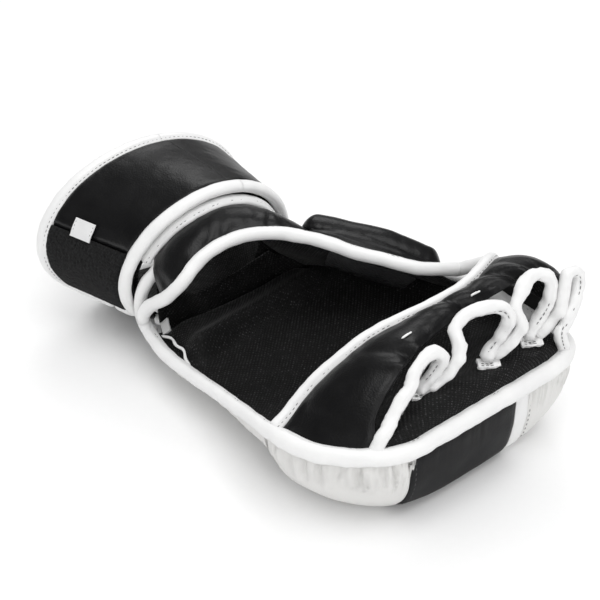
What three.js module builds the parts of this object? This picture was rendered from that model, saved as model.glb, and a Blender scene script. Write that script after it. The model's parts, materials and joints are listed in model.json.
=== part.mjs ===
// Left-hand sparring glove lying palm up on its knuckle pad.
// Units are millimetres. +X points to the fingers, +Y to the thumb, +Z out of the palm.
// The origin is the middle of the flat patch under the knuckle pad, on the floor.
import * as THREE from 'three';
import { mergeVertices } from 'three/addons/utils/BufferGeometryUtils.js';

// ---------------------------------------------------------------- driving dimensions
const GAP = 0.4; // clear space between stacked layers
const EDGE_GAP = 1.0; // clear space between a sheet edge and its binding
const LEATHER = 1.6; // leather thickness
const LINING = 1.2; // lining thickness
const RIM_R = 4.2; // pad rim binding radius
const BIND_R = 3.2; // all other binding radii
const TUBE_SIDES = 8; // facets around a binding

const FLEX_X = -24; // knuckle section meets hand section here
const FLEX_GAP = 0.5; // half of the gap between the two sections
const HEEL_X = -126; // hand section ends here, at the wrist
const BASE_Z = 0; // flat patch height
const PANEL_NEAR_Y = -38; // seam between white corner and grey knuckle panel
const PANEL_FAR_Y = 28; // seam between grey knuckle panel and accent band
const BAND_FAR_Y = 38; // far side of the accent band
const PAD_LENGTH = 60; // knuckle section, flex line to front rim at the corners
const FLATTEN = 1.16; // cuts the round underside off into a flat patch
const REAR_LIFT = 5; // height of the underside at the flex line
const REAR_RISE = 0.17; // share of the pad over which the underside rises to the flex line
const HEEL_LIFT = 5; // height of the underside at the wrist
const FOAM_GAP = 2.4; // clear space between lining and foam
const PAD_SIDE_POWER = 3.2; // squareness of the knuckle pad from side to side
const PAD_FRONT_POWER = 3.4; // squareness of the knuckle pad from back to front
const POCKET_DEPTH = 17; // hollow for the fingers, behind the finger roll
const ROLL_RISE = 8; // height of the roll the fingers lie on
const HAND_DIP_HEEL = 6; // hollow for the hand, at the heel
const HAND_DIP_FLEX = 19; // hollow for the hand, at the flex line

const CUFF = {
  centreZ: 44.8,
  halfHeight: 43,
  rimHalfWidth: 59,
  rimCentreY: 1,
  handHalfWidth: 46,
  handCentreY: -1,
  rimX: -186,
  rimSlant: 10,
  handX: -134,
  handSlant: 13,
};
const CUFF_FROM = -134; // degrees, one end of the cuff, which is split at the back of the wrist
const CUFF_TO = 224; // other end of the cuff
const STRAP_START = -125; // degrees around the cuff, 0 is the thumb side, 90 is the palm side
const STRAP_FOLD = 28; // first fold line of the strap
const STRAP_TURN = 118; // second fold line of the strap
const STRAP_END = 214; // free end of the strap
const LINING_END = 172; // seam between strap lining and hook patch
const STRAP_JOINT_GAP = 0.7; // degrees left clear on each side of a fold line

// ---------------------------------------------------------------- key curves
const NEAR_RIM_HAND = [
  [-130, -46, 22], [-112, -51, 20], [-90, -54, 21], [-66, -57, 24], [-45, -62, 29], [-24, -67.5, 34.5],
];
const NEAR_RIM_KNUCKLE = [
  [-24, -67.5, 34.5], [-8, -69.5, 37.5], [8, -67.5, 39], [22, -60, 40.5], [32, -50, 41], [37, -40, 41],
];
const FRONT_RIM = [[37, -40, 41], [39.5, -20, 41.5], [41.5, 8, 42], [43, 34, 42], [43, 58, 42]];
const FAR_RIM_KNUCKLE = [
  [43, 58, 42], [38, 69, 42.5], [24, 74, 43], [4, 75.5, 44], [-12, 75.5, 45], [-24, 74.5, 46],
];
const FAR_RIM_HAND = [[-24, 74.5, 46], [-46, 70, 43], [-70, 62, 39], [-94, 53, 35], [-113, 47.5, 31]];
const OPENING = [
  [-130, -46, 22], [-132, -47.5, 29], [-127, -46.5, 38], [-116, -45, 48], [-109, -41, 58], [-108, -31, 66],
  [-106, -19, 71], [-101, -7, 73.5], [-93, 5, 73.5], [-83, 14, 72], [-73, 21, 70], [-60, 28, 67],
  [-48, 36, 65], [-36, 45, 62], [-29, 55, 60], [-26.5, 66, 56],
];
const PALM_REAR = [
  [-17.5, -59, 41], [-17, -51, 47], [-15, -42, 54], [-12, -30, 61], [-9.5, -17, 66], [-5, -3, 70],
  [0, 12, 73], [3, 30, 75.5], [1, 46, 77], [-3, 58, 76], [-8, 68, 69], [-12, 73.5, 60], [-13, 75.5, 53],
];
const PALM_FRONT = [
  [24, -51, 46.5], [20, -46, 55], [18, -35, 63.5], [16, -22, 70.5], [15, -8, 74], [14.5, 8, 76],
  [16, 24, 78.5], [19, 40, 81.5], [22, 54, 82.5], [25, 66, 80], [26, 74, 72], [26, 76.5, 62], [26, 76.5, 52],
];
const ARCHES = [
  [[29, -49, 48.5], [28.3, -42, 53.5], [27.8, -36, 59], [26.8, -29, 64.5], [24.8, -21.5, 70.5], [24.5, -14.5, 73.5],
    [26.3, -9.5, 73], [27, -8.5, 69.5], [25.5, -10, 63.5], [22.8, -13, 57.5], [21.3, -17.3, 53.8]],
  [[26.7, -10.6, 53.8], [28.2, -5.2, 59], [29.5, -0.5, 65], [27.4, 2.5, 70.8], [22, 5, 75.8], [20.8, 13, 79],
    [24.9, 23.5, 80.3], [29.6, 29.8, 78.5], [31.5, 31.2, 73.3], [30, 29.8, 66], [27.3, 25.8, 59], [26.8, 21, 54]],
  [[31.2, 28, 54], [34, 33.6, 62], [34.5, 36.4, 68.4], [30, 37.6, 76], [27, 46.3, 82.8], [28, 54.2, 85],
    [31.7, 58.4, 82.3], [33, 58, 75], [32, 56, 66], [30.2, 51.4, 58], [30.3, 48.4, 54.2]],
  [[34.8, 55, 54.2], [35.8, 59.6, 60], [36.5, 62.5, 66], [35.2, 66, 75.5], [34, 69, 81], [35.3, 73.4, 81],
    [37.2, 74, 74.2], [39, 70, 67.5], [40.3, 63.8, 60.5], [40.6, 59, 56]],
];
const ARCH_R = 2.5; // binding radius on the finger openings
const TONGUE_ENDS = [[22.5, -15.5, 50.3], [28, 23, 50.6], [31, 50, 50.4]];
const TONGUE_SIZE = [7, 10, 1.4];
const TONGUE_TURN = -35; // degrees about the vertical
const WRIST_EDGE = [
  [-133, -35.5, 51.5], [-136, -40.5, 45], [-138, -43.2, 36],
  [-138.3, -43.2, 26], [-136.8, -41.5, 18], [-134, -38, 13],
];
const WRIST_EDGE_R = 2.6; // binding radius on the lower wrist edge
const GUARD_LINE = [[-98, 27, 61], [-84, 36.5, 62], [-66, 46.5, 60.5], [-51, 56, 56], [-41, 64, 51]];
const GUARD_HALF_WIDTH = 10.5;
const GUARD_HALF_HEIGHT = 10.5;
const GUARD_COVER_FROM = -50; // degrees round the guard, 0 is its outer side, 90 is up
const GUARD_COVER_TO = 200;
const GUARD_FOAM_INSET = 4.2; // guard foam below the outer face of its cover
const LOOP_TOP = [[-75, 26, 62.5], [-61, 33.5, 59.5], [-49, 41.5, 57], [-39, 49.5, 53]];
const LOOP_BOTTOM = [[-83, 38.5, 47], [-70, 47, 43], [-59, 53, 41.5], [-51, 56.5, 41]];
const ROLL_LINE = [[-101, -34, 26.5], [-103, -16, 24.5], [-102, 8, 25.5], [-99, 28, 30.5]];
const ROLL_R = 4.6;

// ---------------------------------------------------------------- helpers
const vec = (p) => new THREE.Vector3(...p);
const lerp = THREE.MathUtils.lerp;
const rad = THREE.MathUtils.degToRad;
const spline = (points) => new THREE.CatmullRomCurve3(points.map(vec), false, 'centripetal');

// Point of an open curve at parameter t, evenly spaced by length.
const along = (curve, t) => curve.getPointAt(THREE.MathUtils.clamp(t, 0, 1));

function signedVolume(geometry) {
  const position = geometry.getAttribute('position');
  const index = geometry.getIndex();
  const a = new THREE.Vector3();
  const b = new THREE.Vector3();
  const c = new THREE.Vector3();
  let sum = 0;
  for (let i = 0; i < index.count; i += 3) {
    a.fromBufferAttribute(position, index.getX(i));
    b.fromBufferAttribute(position, index.getX(i + 1));
    c.fromBufferAttribute(position, index.getX(i + 2));
    sum += a.dot(b.cross(c));
  }
  return sum / 6;
}

// Weld the corners and turn every face outward.
function finishSolid(raw) {
  raw.deleteAttribute('normal');
  raw.deleteAttribute('uv');
  const geometry = mergeVertices(raw, 1e-4);
  if (signedVolume(geometry) < 0) {
    const ids = geometry.getIndex().array;
    for (let i = 0; i < ids.length; i += 3) {
      [ids[i], ids[i + 2]] = [ids[i + 2], ids[i]];
    }
  }
  return geometry;
}

// Round cord that follows a curve, with flat ends.
function cord(curve, radius, steps, sides = TUBE_SIDES) {
  const ring = [];
  for (let i = 0; i < sides; i += 1) {
    const angle = (2 * Math.PI * i) / sides;
    ring.push(new THREE.Vector2(radius * Math.cos(angle), radius * Math.sin(angle)));
  }
  const options = { steps, bevelEnabled: false, extrudePath: curve };
  return finishSolid(new THREE.ExtrudeGeometry(new THREE.Shape(ring), options));
}

// Closed solid between two grids of the same size.
function solidBetween(top, bottom) {
  const rows = top.length;
  const columns = top[0].length;
  const corners = [];
  for (const grid of [top, bottom]) {
    for (const row of grid) {
      for (const p of row) corners.push(p.x, p.y, p.z);
    }
  }
  const id = (layer, i, j) => layer * rows * columns + i * columns + j;
  const faces = [];
  const quad = (a, b, c, d) => faces.push(a, b, c, a, c, d);
  for (let i = 0; i + 1 < rows; i += 1) {
    for (let j = 0; j + 1 < columns; j += 1) {
      quad(id(0, i, j), id(0, i + 1, j), id(0, i + 1, j + 1), id(0, i, j + 1));
      quad(id(1, i, j), id(1, i, j + 1), id(1, i + 1, j + 1), id(1, i + 1, j));
    }
  }
  for (let i = 0; i + 1 < rows; i += 1) {
    quad(id(0, i, 0), id(1, i, 0), id(1, i + 1, 0), id(0, i + 1, 0));
    quad(id(0, i, columns - 1), id(0, i + 1, columns - 1), id(1, i + 1, columns - 1), id(1, i, columns - 1));
  }
  for (let j = 0; j + 1 < columns; j += 1) {
    quad(id(0, 0, j), id(0, 0, j + 1), id(1, 0, j + 1), id(1, 0, j));
    quad(id(0, rows - 1, j), id(1, rows - 1, j), id(1, rows - 1, j + 1), id(0, rows - 1, j + 1));
  }
  const raw = new THREE.BufferGeometry();
  raw.setAttribute('position', new THREE.Float32BufferAttribute(corners, 3));
  raw.setIndex(faces);
  return finishSolid(raw);
}

function gridOf(pointAt, rows, columns) {
  const grid = [];
  for (let i = 0; i <= rows; i += 1) {
    const row = [];
    for (let j = 0; j <= columns; j += 1) row.push(pointAt(i / rows, j / columns));
    grid.push(row);
  }
  return grid;
}

// Unit normal of a grid at each corner, by central differences.
function gridNormal(grid, i, j) {
  const rows = grid.length - 1;
  const columns = grid[0].length - 1;
  const du = grid[Math.min(i + 1, rows)][j].clone().sub(grid[Math.max(i - 1, 0)][j]);
  const dv = grid[i][Math.min(j + 1, columns)].clone().sub(grid[i][Math.max(j - 1, 0)]);
  return du.cross(dv).normalize();
}

function offsetGrid(grid, distance) {
  return grid.map((row, i) => row.map((p, j) => p.clone().addScaledVector(gridNormal(grid, i, j), distance)));
}

// Sheet whose two faces sit at two distances along the normal of a surface.
function sheet(pointAt, rows, columns, near, far) {
  const middle = gridOf(pointAt, rows, columns);
  return solidBetween(offsetGrid(middle, near), offsetGrid(middle, far));
}

// Surface stretched between two bindings, held clear of both, with a soft bulge.
function stretched(curveA, curveB, radiusA, radiusB, bulge) {
  return (t, s) => {
    const a = along(curveA, t);
    const b = along(curveB, t);
    const across = b.clone().sub(a);
    const start = clearOf(a, across, curveA.getTangentAt(t), radiusA);
    const end = clearOf(b, across.clone().negate(), curveB.getTangentAt(t), radiusB);
    const p = start.lerp(end, s);
    return p.addScaledVector(bulge(t, s), 4 * s * (1 - s));
  };
}

// Step off a binding at a right angle to it.
function clearOf(point, towards, tangent, radius) {
  if (radius === 0) return point.clone();
  const side = towards.clone().addScaledVector(tangent, -towards.dot(tangent)).normalize();
  return point.clone().addScaledVector(side, radius + EDGE_GAP);
}

// ---------------------------------------------------------------- pad surfaces
const nearHand = spline(NEAR_RIM_HAND);
const farHand = spline([...FAR_RIM_HAND].reverse());
const nearKnuckle = spline(NEAR_RIM_KNUCKLE);
const farKnuckle = spline([...FAR_RIM_KNUCKLE].reverse());
const frontRim = spline(FRONT_RIM);

// Cross-section of the knuckle pad at station u: 0 is the flex line, 1 is the front rim.
function knuckleStation(u) {
  return { near: along(nearKnuckle, u), far: along(farKnuckle, u) };
}

// Position inside a station for a given y, with the front edge following the front rim.
function stationPoint(u, y) {
  const { near, far } = knuckleStation(u);
  const share = (y - near.y) / (far.y - near.y);
  const straight = near.clone().lerp(far, share);
  const front = along(frontRim, share);
  const bow = (front.x - lerp(near.x, far.x, share)) * u ** 4;
  straight.x += bow;
  return { point: straight, share };
}

const roundness = (q, power) => (1 - Math.min(1, Math.abs(q)) ** power) ** (1 / power);

// Outer face of the knuckle pad: a soft box that closes up to the rim all round.
function knuckleOuter(u, y, inset) {
  const { near, far } = knuckleStation(u);
  const low = near.y + inset;
  const high = far.y - inset;
  const { point } = stationPoint(u, y);
  const across = (2 * (y - low)) / (high - low) - 1;
  const top = point.z - RIM_R - EDGE_GAP - GAP;
  const depth = Math.min(1, FLATTEN * roundness(across, PAD_SIDE_POWER) * roundness(u, PAD_FRONT_POWER));
  const rearLift = REAR_LIFT * (1 - THREE.MathUtils.smoothstep(u, 0, REAR_RISE));
  point.z = lerp(top, BASE_Z + rearLift, depth);
  point.x -= inset * u;
  return point;
}

// Upper face of the knuckle pad: a pocket at the flex line that swells into the finger roll.
function knuckleLining(u, share) {
  const { near, far } = knuckleStation(u);
  const inset = RIM_R + EDGE_GAP;
  const y = lerp(near.y + inset, far.y - inset, share);
  const { point } = stationPoint(u, y);
  point.x = FLEX_X + (point.x - FLEX_X) * (1 - inset / PAD_LENGTH);
  const pocket = -POCKET_DEPTH * (1 - THREE.MathUtils.smoothstep(u, 0.12, 0.62));
  const swell = THREE.MathUtils.smoothstep(u, 0.35, 0.75) * (1 - THREE.MathUtils.smoothstep(u, 0.8, 1.12));
  point.z += (pocket + ROLL_RISE * swell) * roundness(2 * share - 1, 2.4);
  return point;
}

// Upper face of the hand section: the hollow for the back of the hand.
function handLining(t, share) {
  const near = along(nearHand, t);
  const far = along(farHand, t);
  const edge = (RIM_R + EDGE_GAP) / (far.y - near.y);
  const p = near.lerp(far, lerp(edge, 1 - edge, share));
  p.z -= lerp(HAND_DIP_HEEL, HAND_DIP_FLEX, t) * roundness(2 * share - 1, 2.2);
  return p;
}

function handOuter(t, share) {
  const near = along(nearHand, t);
  const far = along(farHand, t);
  const edge = 2 / (far.y - near.y);
  const p = near.lerp(far, lerp(edge, 1 - edge, share));
  p.z -= RIM_R + GAP;
  const floor = lerp(HEEL_LIFT, REAR_LIFT, t);
  p.z = lerp(p.z, floor, roundness(2 * share - 1, 2.8));
  return p;
}

// ---------------------------------------------------------------- cuff surface
const cuffRimX = (angle) => CUFF.rimX + CUFF.rimSlant * Math.cos(angle);
const cuffHandX = (angle) => CUFF.handX + CUFF.handSlant * Math.cos(angle - rad(38));

// Point on the cuff: degrees round it, x position, and distance out from the strap's outer face.
function cuffPoint(degrees, x, out) {
  const angle = rad(degrees);
  const share = THREE.MathUtils.clamp((x - CUFF.rimX) / (CUFF.handX - CUFF.rimX), -0.3, 1.4);
  const halfWidth = lerp(CUFF.rimHalfWidth, CUFF.handHalfWidth, share) + out;
  const centreY = lerp(CUFF.rimCentreY, CUFF.handCentreY, share);
  const y = centreY + halfWidth * Math.cos(angle);
  const z = CUFF.centreZ + (CUFF.halfHeight + out) * Math.sin(angle);
  return new THREE.Vector3(x, y, z);
}

// Sheet wrapped round the cuff between two angles and two x limits.
function wrap(fromDeg, toDeg, rimInset, handInset, outer, inner, rows, columns) {
  const face = (out) => gridOf((u, s) => {
    const degrees = lerp(fromDeg, toDeg, u);
    const angle = rad(degrees);
    const x = lerp(cuffRimX(angle) + rimInset, cuffHandX(angle) - handInset, s);
    return cuffPoint(degrees, x, out);
  }, rows, columns);
  return solidBetween(face(outer), face(inner));
}

function cuffEdge(fromDeg, toDeg, xAt, out, count) {
  const points = [];
  for (let i = 0; i <= count; i += 1) {
    const degrees = lerp(fromDeg, toDeg, i / count);
    points.push(cuffPoint(degrees, xAt(rad(degrees)), out));
  }
  return points;
}

const smooth = (points) => new THREE.CatmullRomCurve3(points, false, 'centripetal');

// ---------------------------------------------------------------- materials
const MATERIALS = {
  black_leather: [0x0b0b0c, 0.38],
  white_leather: [0xe9e8e6, 0.5],
  grey_leather: [0x232326, 0.5],
  mesh_lining: [0x101012, 0.9],
  foam: [0x2a2a2c, 0.95],
  loop_pile: [0x08080a, 1.0],
  hook_tape: [0x18181a, 0.8],
  label_cloth: [0xf4f4f2, 0.7],
};

const glove = new THREE.Group();
glove.name = 'sparring_glove';

function add(name, material, geometry) {
  const [color, roughness] = MATERIALS[material];
  const skin = new THREE.MeshStandardMaterial({ color, roughness, metalness: 0 });
  const mesh = new THREE.Mesh(geometry, skin);
  mesh.name = name;
  glove.add(mesh);
}

// ---------------------------------------------------------------- knuckle section
// Spacing of the columns: crowded toward a side that closes up to the rim, even between two seams.
function crowded(s, lowRim, highRim) {
  if (lowRim) return 1 - Math.cos((s * Math.PI) / 2);
  if (highRim) return Math.sin((s * Math.PI) / 2);
  return s;
}

function buildKnuckleShell() {
  const seams = [
    ['knuckle_corner_pinky', 'white_leather', null, PANEL_NEAR_Y],
    ['knuckle_panel', 'grey_leather', PANEL_NEAR_Y, PANEL_FAR_Y],
    ['knuckle_accent_band', 'white_leather', PANEL_FAR_Y, BAND_FAR_Y],
    ['knuckle_corner_index', 'white_leather', BAND_FAR_Y, null],
  ];
  for (const [name, material, fromY, toY] of seams) {
    const face = (inset, lift) => gridOf((w, s) => {
      const u = Math.sin((w * Math.PI) / 2);
      const { near, far } = knuckleStation(u);
      const low = fromY === null ? near.y + inset : Math.max(fromY + GAP / 2, near.y + inset + 1.5);
      const high = toY === null ? far.y - inset : Math.max(toY - GAP / 2, near.y + inset + 1);
      const bias = crowded(s, fromY === null, toY === null);
      const p = knuckleOuter(u, lerp(low, high, bias), inset);
      const inward = 1 - u ** 6;
      p.z += lift * (0.25 + 0.75 * inward);
      p.x -= lift * (1 - inward);
      p.x += FLEX_GAP * (1 - u);
      return p;
    }, 9, fromY === null || toY === null ? 6 : 4);
    add(name, material, solidBetween(face(1, 0), face(1 + LEATHER, LEATHER)));
  }
}

function buildKnuckleCore() {
  const inset = RIM_R + EDGE_GAP;
  const upper = gridOf((w, s) => {
    const p = knuckleLining(Math.sin((w * Math.PI) / 2), s);
    p.x += FLEX_GAP * (1 - w);
    return p;
  }, 10, 8);
  const lower = upper.map((row) => row.map((p) => p.clone().setZ(p.z - LINING)));
  add('knuckle_lining', 'mesh_lining', solidBetween(upper, lower));

  const core = (side) => gridOf((w, s) => {
    const u = Math.sin((w * Math.PI) / 2) * 0.93;
    const top = knuckleLining(u, lerp(0.03, 0.97, s));
    const lid = top.z - LINING - FOAM_GAP;
    const shell = knuckleOuter(u, top.y, inset);
    top.z = side > 0 ? lid : Math.min(lid - 1.5, shell.z + LEATHER + FOAM_GAP);
    return top;
  }, 8, 8);
  add('knuckle_foam', 'foam', solidBetween(core(1), core(-1)));
}

function buildKnuckleRim() {
  const points = [
    ...NEAR_RIM_KNUCKLE, ...FRONT_RIM.slice(1), ...FAR_RIM_KNUCKLE.slice(1),
  ].map(vec);
  points[0].x += FLEX_GAP;
  points[points.length - 1].x += FLEX_GAP;
  add('knuckle_rim_binding', 'white_leather', cord(smooth(points), RIM_R, 36));
}

function buildPalmBand() {
  const rear = spline(PALM_REAR);
  const front = spline(PALM_FRONT);
  const outward = (t) => new THREE.Vector3(0, lerp(-0.55, 0.75, t), 0.8).normalize();
  const surface = stretched(rear, front, BIND_R, 0, (t) => outward(t).multiplyScalar(3));
  // The surface normal points into the hand here, so the leather lies at negative distances.
  add('palm_band', 'black_leather', sheet(surface, 18, 5, -GAP, -GAP - LEATHER));
  add('palm_band_lining', 'mesh_lining', sheet(surface, 18, 5, 0, LINING));
  add('palm_rear_binding', 'white_leather', cord(rear, BIND_R, 26));
}

function buildFingerOpenings() {
  ARCHES.forEach((points, i) => {
    add(`finger_arch_binding_${i + 1}`, 'white_leather', cord(spline(points), ARCH_R, 20, 7));
  });
  TONGUE_ENDS.forEach(([x, y, z], i) => {
    const tab = new THREE.BoxGeometry(...TONGUE_SIZE);
    tab.rotateZ(rad(TONGUE_TURN));
    tab.translate(x, y, z);
    add(`finger_tongue_end_${i + 1}`, 'white_leather', finishSolid(tab));
  });
}

// ---------------------------------------------------------------- hand section
function buildHandSection() {
  const lining = (t, s) => {
    const p = handLining(t, s);
    p.x = Math.max(p.x - FLEX_GAP * t, HEEL_X);
    return p;
  };
  const upper = gridOf(lining, 10, 8);
  const lower = upper.map((row) => row.map((p) => p.clone().setZ(p.z - LINING)));
  add('hand_lining', 'mesh_lining', solidBetween(upper, lower));

  const outer = (lift) => gridOf((t, s) => {
    const bias = 0.5 - 0.5 * Math.cos(Math.PI * s);
    const p = handOuter(t, lift > 0 ? lerp(0.012, 0.988, bias) : bias);
    p.x = Math.max(p.x - FLEX_GAP * t, HEEL_X);
    p.z += lift;
    return p;
  }, 9, 10);
  add('hand_shell', 'white_leather', solidBetween(outer(0), outer(LEATHER)));

  const core = (side) => gridOf((t, s) => {
    const share = lerp(0.08, 0.92, s);
    const p = handLining(lerp(0.02, 0.99, t), share);
    p.x = Math.max(p.x - FLEX_GAP, HEEL_X + 1);
    const lid = p.z - LINING - FOAM_GAP;
    const shell = handOuter(t, share);
    p.z = side > 0 ? lid : Math.min(lid - 1, shell.z + LEATHER + GAP);
    return p;
  }, 8, 7);
  add('hand_foam', 'foam', solidBetween(core(1), core(-1)));

  const nearEnd = NEAR_RIM_HAND.map(vec).reverse();
  nearEnd[0].x -= FLEX_GAP;
  const edge = [...nearEnd, ...OPENING.slice(1).map(vec)];
  add('opening_binding', 'white_leather', cord(smooth(edge), BIND_R, 50));

  const farRim = FAR_RIM_HAND.map(vec);
  farRim[0].x -= FLEX_GAP;
  add('thumb_side_binding', 'white_leather', cord(smooth(farRim), BIND_R, 14));

  add('padding_roll', 'mesh_lining', cord(spline(ROLL_LINE), ROLL_R, 10, 8));
}

// ---------------------------------------------------------------- thumb guard
// Point on the guard: t along its line, degrees round it, inset from its outer face.
function guardPoint(line, t, degrees, inset) {
  const centre = along(line, t);
  const forward = line.getTangentAt(t).setZ(0).normalize();
  const side = new THREE.Vector3(-forward.y, forward.x, 0);
  const taper = Math.max(0.4, roundness(2 * t - 1, 5));
  const angle = rad(degrees);
  const out = (GUARD_HALF_WIDTH * taper - inset) * Math.cos(angle);
  const up = (GUARD_HALF_HEIGHT * taper - inset) * Math.sin(angle);
  return centre.addScaledVector(side, out).add(new THREE.Vector3(0, 0, up));
}

function buildThumbGuard() {
  const line = spline(GUARD_LINE);
  const face = (inset) => gridOf((t, s) => {
    return guardPoint(line, t, lerp(GUARD_COVER_FROM, GUARD_COVER_TO, s), inset);
  }, 10, 8);
  add('thumb_guard_cover', 'black_leather', solidBetween(face(0), face(LEATHER)));
  const core = (from, to) => gridOf((t, s) => {
    return guardPoint(line, lerp(0.04, 0.96, t), lerp(from, to, s), GUARD_FOAM_INSET);
  }, 8, 5);
  add('thumb_guard_foam', 'foam', solidBetween(core(4, 176), core(-4, -176)));

  const web = stretched(
    spline(OPENING.slice(9, 15)),
    smooth([0.12, 0.24, 0.4, 0.6, 0.8, 0.94].map((t) => guardPoint(line, t, 140, -1.6))),
    BIND_R + 0.4, 0, () => new THREE.Vector3(0, 0, -0.8),
  );
  add('thumb_web_panel', 'black_leather', sheet(web, 10, 2, -LEATHER / 2, LEATHER / 2));

  const side = stretched(
    spline(FAR_RIM_HAND.slice(1, 5).reverse().map(([x, y, z]) => [x, y + 0.6, z + 1.5])),
    smooth([0.08, 0.3, 0.5, 0.7, 0.9].map((t) => guardPoint(line, t, -78, -2.2))),
    BIND_R + 1.4, 0, () => new THREE.Vector3(-0.6, 1.2, 0),
  );
  const shortSide = (t, s) => side(0.88 * t, s);
  add('thumb_side_panel', 'black_leather', sheet(shortSide, 10, 3, -LEATHER / 2, LEATHER / 2));

  const sag = new THREE.Vector3(-1.6, -3.4, -3.4);
  const loop = stretched(spline(LOOP_TOP), spline(LOOP_BOTTOM), 0, 0, () => sag);
  add('thumb_loop', 'black_leather', sheet(loop, 8, 4, 0.2, 0.2 + LEATHER));
  add('thumb_loop_lining', 'mesh_lining', sheet(loop, 8, 4, -LINING - 0.2, -0.2));
}

// ---------------------------------------------------------------- wrist
const EDGE_OUT = -1.7; // strap binding centre below the strap's outer face
const UNDER_OUT = -8.6; // cuff binding centre below the strap's outer face
const UNDER_SHIFT = 1.5; // cuff binding set toward the hand
const UNDER_END = 165; // degrees, where the cuff binding tucks behind the wrist edge
const PANEL_CLEAR = BIND_R + EDGE_GAP + 0.6; // wrist panels end this far from the cuff binding's centre
const PANEL_OUT = UNDER_OUT - 1; // wrist panels below the strap's outer face
const underX = (angle) => cuffHandX(angle) + UNDER_SHIFT;

function buildWrist() {
  const opening = spline(OPENING.slice(3, 10));
  const cuffSide = smooth(cuffEdge(UNDER_END - 8, 38, (a) => underX(a) + PANEL_CLEAR, PANEL_OUT, 14));
  const bulge = (t) => new THREE.Vector3(-0.2, lerp(-0.8, 0.4, t), 1).multiplyScalar(1.5);
  const surface = stretched(opening, cuffSide, BIND_R + 0.6, 0, bulge);
  add('heel_gusset', 'black_leather', sheet(surface, 16, 4, -LEATHER / 2, LEATHER / 2));

  const root = smooth([[-102, 23.5, 66.5], [-104.5, 29, 60], [-104.5, 37, 50], [-107, 39, 41]].map(vec));
  const cuffFar = smooth(cuffEdge(34, -14, (a) => underX(a) + PANEL_CLEAR, PANEL_OUT, 6));
  const rootPanel = stretched(root, cuffFar, 0, 0, () => new THREE.Vector3(0, 0.6, 0));
  add('thumb_root_panel', 'black_leather', sheet(rootPanel, 7, 2, -LEATHER / 2, LEATHER / 2));

  const under = smooth(cuffEdge(328, 230, (a) => underX(a) + PANEL_CLEAR, PANEL_OUT, 10));
  const backPanel = (t, s) => {
    const hand = handOuter(0, lerp(0.9, 0.12, t));
    hand.x = Math.max(hand.x, HEEL_X) - 1.2;
    return hand.lerp(along(under, t), s);
  };
  add('wrist_back_panel', 'white_leather', sheet(backPanel, 10, 3, 0, LEATHER));
}

// ---------------------------------------------------------------- cuff
function buildCuff() {
  const inset = BIND_R + EDGE_GAP;
  const layer = (name, material, outer, inner) => {
    const rimInset = UNDER_SHIFT + inset;
    const handInset = inset - UNDER_SHIFT;
    add(name, material, wrap(CUFF_FROM, CUFF_TO, rimInset, handInset, outer, inner, 26, 2));
  };
  layer('cuff_cover', 'black_leather', -5.8, -5.8 - LEATHER);
  layer('cuff_foam', 'foam', -7.9, -9.9);
  layer('cuff_lining', 'mesh_lining', -10.4, -10.4 - LINING);
  const hand = cuffEdge(UNDER_END, CUFF_FROM, underX, UNDER_OUT, 30);
  add('cuff_hand_binding', 'white_leather', cord(smooth(hand), BIND_R, 32));
  const rim = cuffEdge(CUFF_FROM, CUFF_TO, (a) => cuffRimX(a) + UNDER_SHIFT, UNDER_OUT, 30);
  add('cuff_rim_binding', 'white_leather', cord(smooth(rim), BIND_R, 36));
  add('wrist_edge_binding', 'white_leather', cord(spline(WRIST_EDGE), WRIST_EDGE_R, 12));
}

// ---------------------------------------------------------------- closing strap
const PATCH_START = 160; // degrees, seam between strap leather and fastening patch
const STRAP_LINING_OUT = -2.1; // outer face of the strap lining

function buildStrap() {
  const inset = BIND_R + EDGE_GAP;
  const layer = (name, material, from, to, outer, inner) => {
    add(name, material, wrap(from, to, inset, inset, outer, inner, Math.ceil((to - from) / 9), 2));
  };
  const under = (name, material, from, to) => {
    layer(name, material, from, to, STRAP_LINING_OUT, STRAP_LINING_OUT - LINING);
  };
  const edge = (name, from, to, xAt) => {
    const line = smooth(cuffEdge(from, to, xAt, EDGE_OUT, 10));
    add(name, 'white_leather', cord(line, BIND_R, Math.ceil((to - from) / 7)));
  };
  const spans = [
    ['strap_root', STRAP_START, STRAP_FOLD - STRAP_JOINT_GAP],
    ['strap_middle', STRAP_FOLD + STRAP_JOINT_GAP, STRAP_TURN - STRAP_JOINT_GAP],
  ];
  for (const [name, from, to] of spans) {
    layer(`${name}_leather`, 'black_leather', from, to, 0, -LEATHER);
    under(`${name}_lining`, 'mesh_lining', from, to);
    edge(`${name}_rim_binding`, from, to, cuffRimX);
    edge(`${name}_hand_binding`, from, to, cuffHandX);
  }
  const start = STRAP_TURN + STRAP_JOINT_GAP;
  const patchEnd = STRAP_END - 5;
  layer('strap_end_leather', 'black_leather', start, PATCH_START - 0.3, 0, -LEATHER);
  layer('strap_end_loop_patch', 'loop_pile', PATCH_START + 0.3, patchEnd, 0.3, -LEATHER);
  under('strap_end_lining', 'mesh_lining', start, LINING_END);
  under('strap_end_hook_patch', 'hook_tape', LINING_END + 0.6, patchEnd);
  const rimSide = cuffEdge(start, STRAP_END - 4, cuffRimX, EDGE_OUT, 12);
  const handSide = cuffEdge(STRAP_END - 4, start, cuffHandX, EDGE_OUT, 12);
  const endX = (share) => (angle) => lerp(cuffRimX(angle), cuffHandX(angle), share);
  const across = [0.06, 0.3, 0.5, 0.7, 0.94].map((share) => {
    return cuffPoint(STRAP_END + 1, endX(share)(rad(STRAP_END)), EDGE_OUT);
  });
  add('strap_end_binding', 'white_leather', cord(smooth([...rimSide, ...across, ...handSide]), BIND_R, 46));

  const label = (out) => gridOf((u, s) => cuffPoint(lerp(149, 161, u), lerp(-178, -165.5, s), out), 3, 1);
  add('blank_label', 'label_cloth', solidBetween(label(1.5), label(0.7)));
}

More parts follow.
